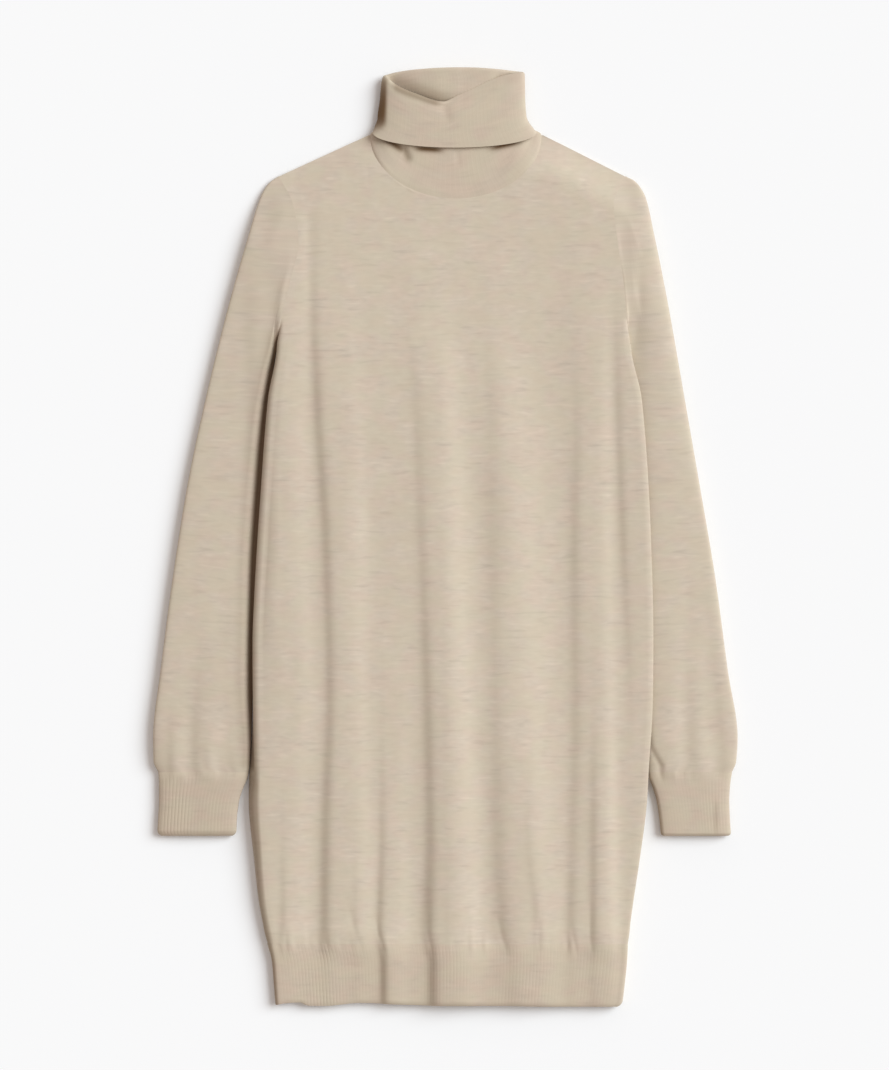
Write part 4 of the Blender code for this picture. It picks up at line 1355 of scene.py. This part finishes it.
def make_hem_back(levels):
    """The back half of the hem rib, flat on the surface."""
    part = shares(len(levels), HEM_BACK_STEPS + 1, HEM_BACK_STEPS)
    x = across_back(levels, RIB, HEM_BACK_STEPS + 1)
    y = np.broadcast_to(levels[:, None], x.shape)
    y = y + 4 * ramp(HEM + 12, HEM, y)
    z = 0.5 * RIB + HEM_RELIEF + ribs(part, HEM_BACK_RIB_COUNT, HEM_RELIEF)
    points, weave = np.stack((x, y, z), 2), np.stack((part * HEM_BACK_WEAVE, y), 2)
    cloth("hem_rib_back", "rib", points, weave, RIB, False)


def left_sleeve_shade(points):
    """Painted shade on the left sleeve: towards the crevice, down in it, and a little all over."""
    x, y, _ = xyz(points)
    edge_x, out, soft, opened = read(CREVICE, "x out soft open", y)
    inward = edge_x - x
    beside = ramp(out + 16, out + soft, inward) + ramp(out + 9, out + 3, inward)
    inside = 0.5 * ramp(out + 0.4 * soft, out - 0.6 * soft, inward) * opened
    off_seam = mix(1, ramp(0, 3.5, inward), ramp(UNDERARM, UNDERARM + 20, y))
    in_crevice = (0.14 * beside * opened**2 + inside * off_seam) * ramp(-236, -224, y)
    return in_crevice + LEFT_SLEEVE_SHADE * ramp(330, 240, y)


def make_sleeve(node, arm, flanks, front, column, outward, seed):
    """A sleeve whose first ring lies on the front's edge, in the given column of its points."""
    table, form, armhole_table, underarm_blend = arm
    edge = front[: YOKE_STEPS + 1, column]
    edge_out = normals(front, False)[: YOKE_STEPS + 1, column]
    points = sleeve_points(table, form, armhole_table, edge[:, 2], outward, underarm_blend)
    part, side = ring_parts(SLEEVE_POINTS)
    lean = COURSE_LEAN * math.atan2(table[0].out_x - table[-1].out_x, 520)
    across = across_length(points, True, lean)
    x, y, _ = xyz(points)
    away = y - table[-1].out_y
    loose = 0.22 * rumple(x, y, 16, 80, seed) * ramp(0, 60, away)
    puckers = 0.38 * gathers(across[:, :-1], np.maximum(0, away), 4.2, seed + 5)
    points = raised(points, True, -outward * (loose + puckers) * lift(part, 6))
    top = (side > 0) * lift(part, 6)
    z = points[..., 2] + flank_rise(flanks, SLEEVE_LEVELS, x, y) * top
    if outward > 0:
        z = z + RIGHT_CAP_LIFT * ramp(185, 225, y) * top
    points[..., 2] = np.maximum(z, 0.5 * JERSEY)
    row = np.arange(len(points))[:, None] * np.ones((1, SLEEVE_POINTS))
    inner = slice(1, YOKE_STEPS)
    last_reach = RIGHT_SEAM_ROWS if outward > 0 else SEAM_ROWS
    reach = mix(SEAM_ROWS, last_reach, ramp(0.25, 0.4, part[0, inner]))
    points[:, inner] = hung(points[:, inner], edge[inner], row[:, inner], reach)
    turned = points[..., 1] * math.cos(lean) - points[..., 0] * math.sin(lean)
    weave = np.stack((across, wrapped(turned)), 2)
    if outward < 0:
        shade = left_sleeve_shade(points)
    else:
        # Painted shade that dims the bright line beside the armhole seam
        by_seam = bell((row - 1.2) / 1.4) * top
        shade = RIGHT_SEAM_SHADE * by_seam * ramp(290, 250, y) * ramp(190, 205, y)
    shade = shade + SLEEVE_END_SHADE * ramp(-60, -190, points[..., 1])
    cut, flip, seam = (0.36, 0.62, 0.082), outward > 0, (inner, edge_out[inner])
    cloth(node, "jersey", points, weave, JERSEY, True, flip, shade, seam)
    return points


def make_cuff(node, table, roll, strengths, darker, sleeve, flip, seed):
    """A cuff that starts on the last ring of its sleeve. The right one is flipped."""
    columns = 6 * CUFF_RIB_COUNT
    turn = even_turns(table, roll, columns)
    points = cuff_points(table, roll, 24, turn)
    x, y, _ = xyz(points)
    away = table[0].y - y
    above, below = (uneven(amounts, x, y, away, seed) for amounts in (strengths, EVEN_RIBS))
    heights = ribs(shares(len(points), columns, columns), CUFF_RIB_COUNT, CUFF_RELIEF)
    points = raised(points, True, heights * np.where(turn > 1, below, above))

    # A sleeve's ring starts at its outer end, and a cuff's at its left one
    sleeve_turn = (1 - turn) % 2 if flip else turn
    ring_turn = np.arange(SLEEVE_POINTS + 1) / YOKE_STEPS

    def at_turn(values):
        """Values known round the sleeve's last ring, at the places of the cuff's own points."""
        ring = np.concatenate((values, values[:1]))
        return np.stack([np.interp(sleeve_turn, ring_turn, axis) for axis in ring.T], 1)

    points = hung(points, at_turn(sleeve[-1]), away, SEAM_REACH)
    x, y, z = xyz(points)
    to_end = y - table[-1].y
    z[:] = np.maximum(rolled(z, to_end, RIB, 0.45, roll), 0.5 * RIB)
    # Painted shade on the rolled lower edge, turned away from the light, and the rib's darkening below
    # its seam
    shade = darker * set_in(x, away, seed) + 0.1 * ramp(roll + 0.5, roll - 1.5, to_end)
    shade += darkest(CUFF_FOLD_SHADE, x, y)
    if flip:
        shade += RIGHT_CUFF_SIDE_SHADE * ramp(3.4, 1.2, x - read(table, "left", y)) * ramp(4, 12, away)
    weave = np.stack((shares(len(points), columns + 1, columns) * CUFF_WEAVE, wrapped(y)), 2)
    edge_out = at_turn(normals(sleeve, True)[-1] * (-1 if flip else 1))
    cut, wall, seam = (0.165, 0.061, 0.0098), seam_wall(away[:, 0]), (slice(None), edge_out)
    cloth(node, "rib", points, weave, wall, True, shade=shade, seam=seam)


def make_collar():
    """The roll neck, with its dents and the shade painted in and under its folds."""
    points = collar_points()
    rows = len(points)
    part = shares(rows, COLLAR_POINTS, COLLAR_POINTS)
    points = raised(points, True, ribs(part, COLLAR_RIB_COUNT, COLLAR_RELIEF))
    x, y, z = xyz(points.copy())
    row = np.arange(rows)[:, None]
    on_front, shade = part < 0.5, np.zeros(part.shape)
    on_stand = (row < FOLD_ROW) & on_front
    on_turndown = (row >= FOLD_ROW + FOLD_STEPS) & on_front
    on_inside = (row >= FOLD_ROW - INSIDE_ROWS) & (row < FOLD_ROW) & (part > 0.5)
    # Painted shade in the dents, besides their depth
    groups = ((STAND_DENTS, on_stand), (TURNDOWN_DENTS, on_turndown), (INSIDE_SHADE_DENTS, on_inside))
    for dents, where in groups:
        points[..., 2] -= sum(spot.depth * dent(spot, x, y) for spot in dents) * where
        shade = np.maximum(shade, darkest(dents, x, y) * where)
    # Painted shade over the left half of the fold, and down the roll's left side
    off_fold = np.abs(row - (FOLD_ROW + 0.5 * FOLD_STEPS - 0.5))
    on_fold = ramp(0.5 * FOLD_STEPS + 3.5, 0.5 * FOLD_STEPS - 0.5, off_fold) * on_front
    shade = np.maximum(shade, LEFT_RIM_SHADE * on_fold * ramp(0, -12, x) * ramp(-56, -48, x))
    side_shade = read(LEFT_SPREAD, "shade", y) * ramp(COLLAR_X - 64, COLLAR_X - 69, x)
    shade = np.maximum(shade, side_shade * ramp(13.8, 11.4, z) * (row >= STAND_STEPS))
    steps = np.linalg.norm(np.diff(points, axis=0), axis=2).mean(1)
    length = np.concatenate(([0], np.cumsum(steps)))
    around = shares(rows, COLLAR_POINTS + 1, COLLAR_POINTS) * COLLAR_WEAVE
    weave = np.stack((around, length[:, None] + 0 * around), 2)
    cut, below, wall = (0.30, 0.165, 0.044), ["floor", "front_cloth"], seam_wall(length)
    cloth("collar", "rib", points, weave, wall, True, shade=shade)


LEFT_ARM = (LEFT_SLEEVE, LEFT_FORM, LEFT_ARMHOLE, LEFT_UNDERARM_BLEND)
RIGHT_ARM = (RIGHT_SLEEVE, RIGHT_FORM, RIGHT_ARMHOLE, RIGHT_UNDERARM_BLEND)
LEFT_RIB = (LEFT_CUFF, LEFT_CUFF_ROLL, LEFT_CUFF_RIBS, LEFT_CUFF_SHADE)
RIGHT_RIB = (RIGHT_CUFF, RIGHT_CUFF_ROLL, RIGHT_CUFF_RIBS, RIGHT_CUFF_SHADE)
front = make_front()
make_back()
make_hem_front(hem_levels(), front)
make_hem_back(hem_levels())
left_sleeve = make_sleeve("sleeve_left", LEFT_ARM, LEFT_FLANKS, front, 0, -1, 41)
right_sleeve = make_sleeve("sleeve_right", RIGHT_ARM, RIGHT_FLANKS, front, -1, 1, 61)
make_cuff("cuff_left", *LEFT_RIB, left_sleeve, False, 81)
make_cuff("cuff_right", *RIGHT_RIB, right_sleeve, True, 91)
make_collar()

# ---- Floor, light and camera ----

bpy.ops.mesh.primitive_plane_add(size=40.0, location=(0.0, 0.0, -0.0002))
floor = bpy.context.object
floor.name = "floor"
paper = Nodes("paper")
looks = {"Base Color": (0.93, 0.93, 0.93, 1.0), "Roughness": 0.9, "Specular IOR Level": 0.0}
paper.feed(paper.shader, looks)
floor.data.materials.append(paper.material)

scene = bpy.context.scene
scene.view_settings.view_transform = "Standard"
world = bpy.data.worlds.new("studio")
world.use_nodes = True
scene.world = world
sky = world.node_tree.nodes["Background"].inputs
sky["Color"].default_value = (1.08, 0.985, 0.935, 1.0)
sky["Strength"].default_value = 0.47

KEY_SHARE = 0.55
KEY_ELEVATION = math.radians(38.0)
KEY_TURN = math.radians(25.0)
key = bpy.data.objects.new("key", bpy.data.lights.new("key", "SUN"))
scene.collection.objects.link(key)
key.data.color = (0.93, 1.01, 1.06)
key.data.energy = KEY_SHARE * math.pi / math.sin(KEY_ELEVATION)
key.data.angle = math.radians(42.0)
key.rotation_euler = (math.pi / 2.0 - KEY_ELEVATION, 0.0, KEY_TURN + math.pi / 2.0)

VIEW_X = -1.0
VIEW_Y = 1.5
VIEW_HEIGHT = 1070.0
LENS = 150.0
SENSOR = 36.0
camera = bpy.data.objects.new("camera", bpy.data.cameras.new("camera"))
scene.collection.objects.link(camera)
camera.data.lens = LENS
camera.data.sensor_width = SENSOR
camera.data.clip_end = 100.0
camera.location = (VIEW_X * MM, VIEW_Y * MM, VIEW_HEIGHT * MM * LENS / SENSOR)
scene.camera = camera
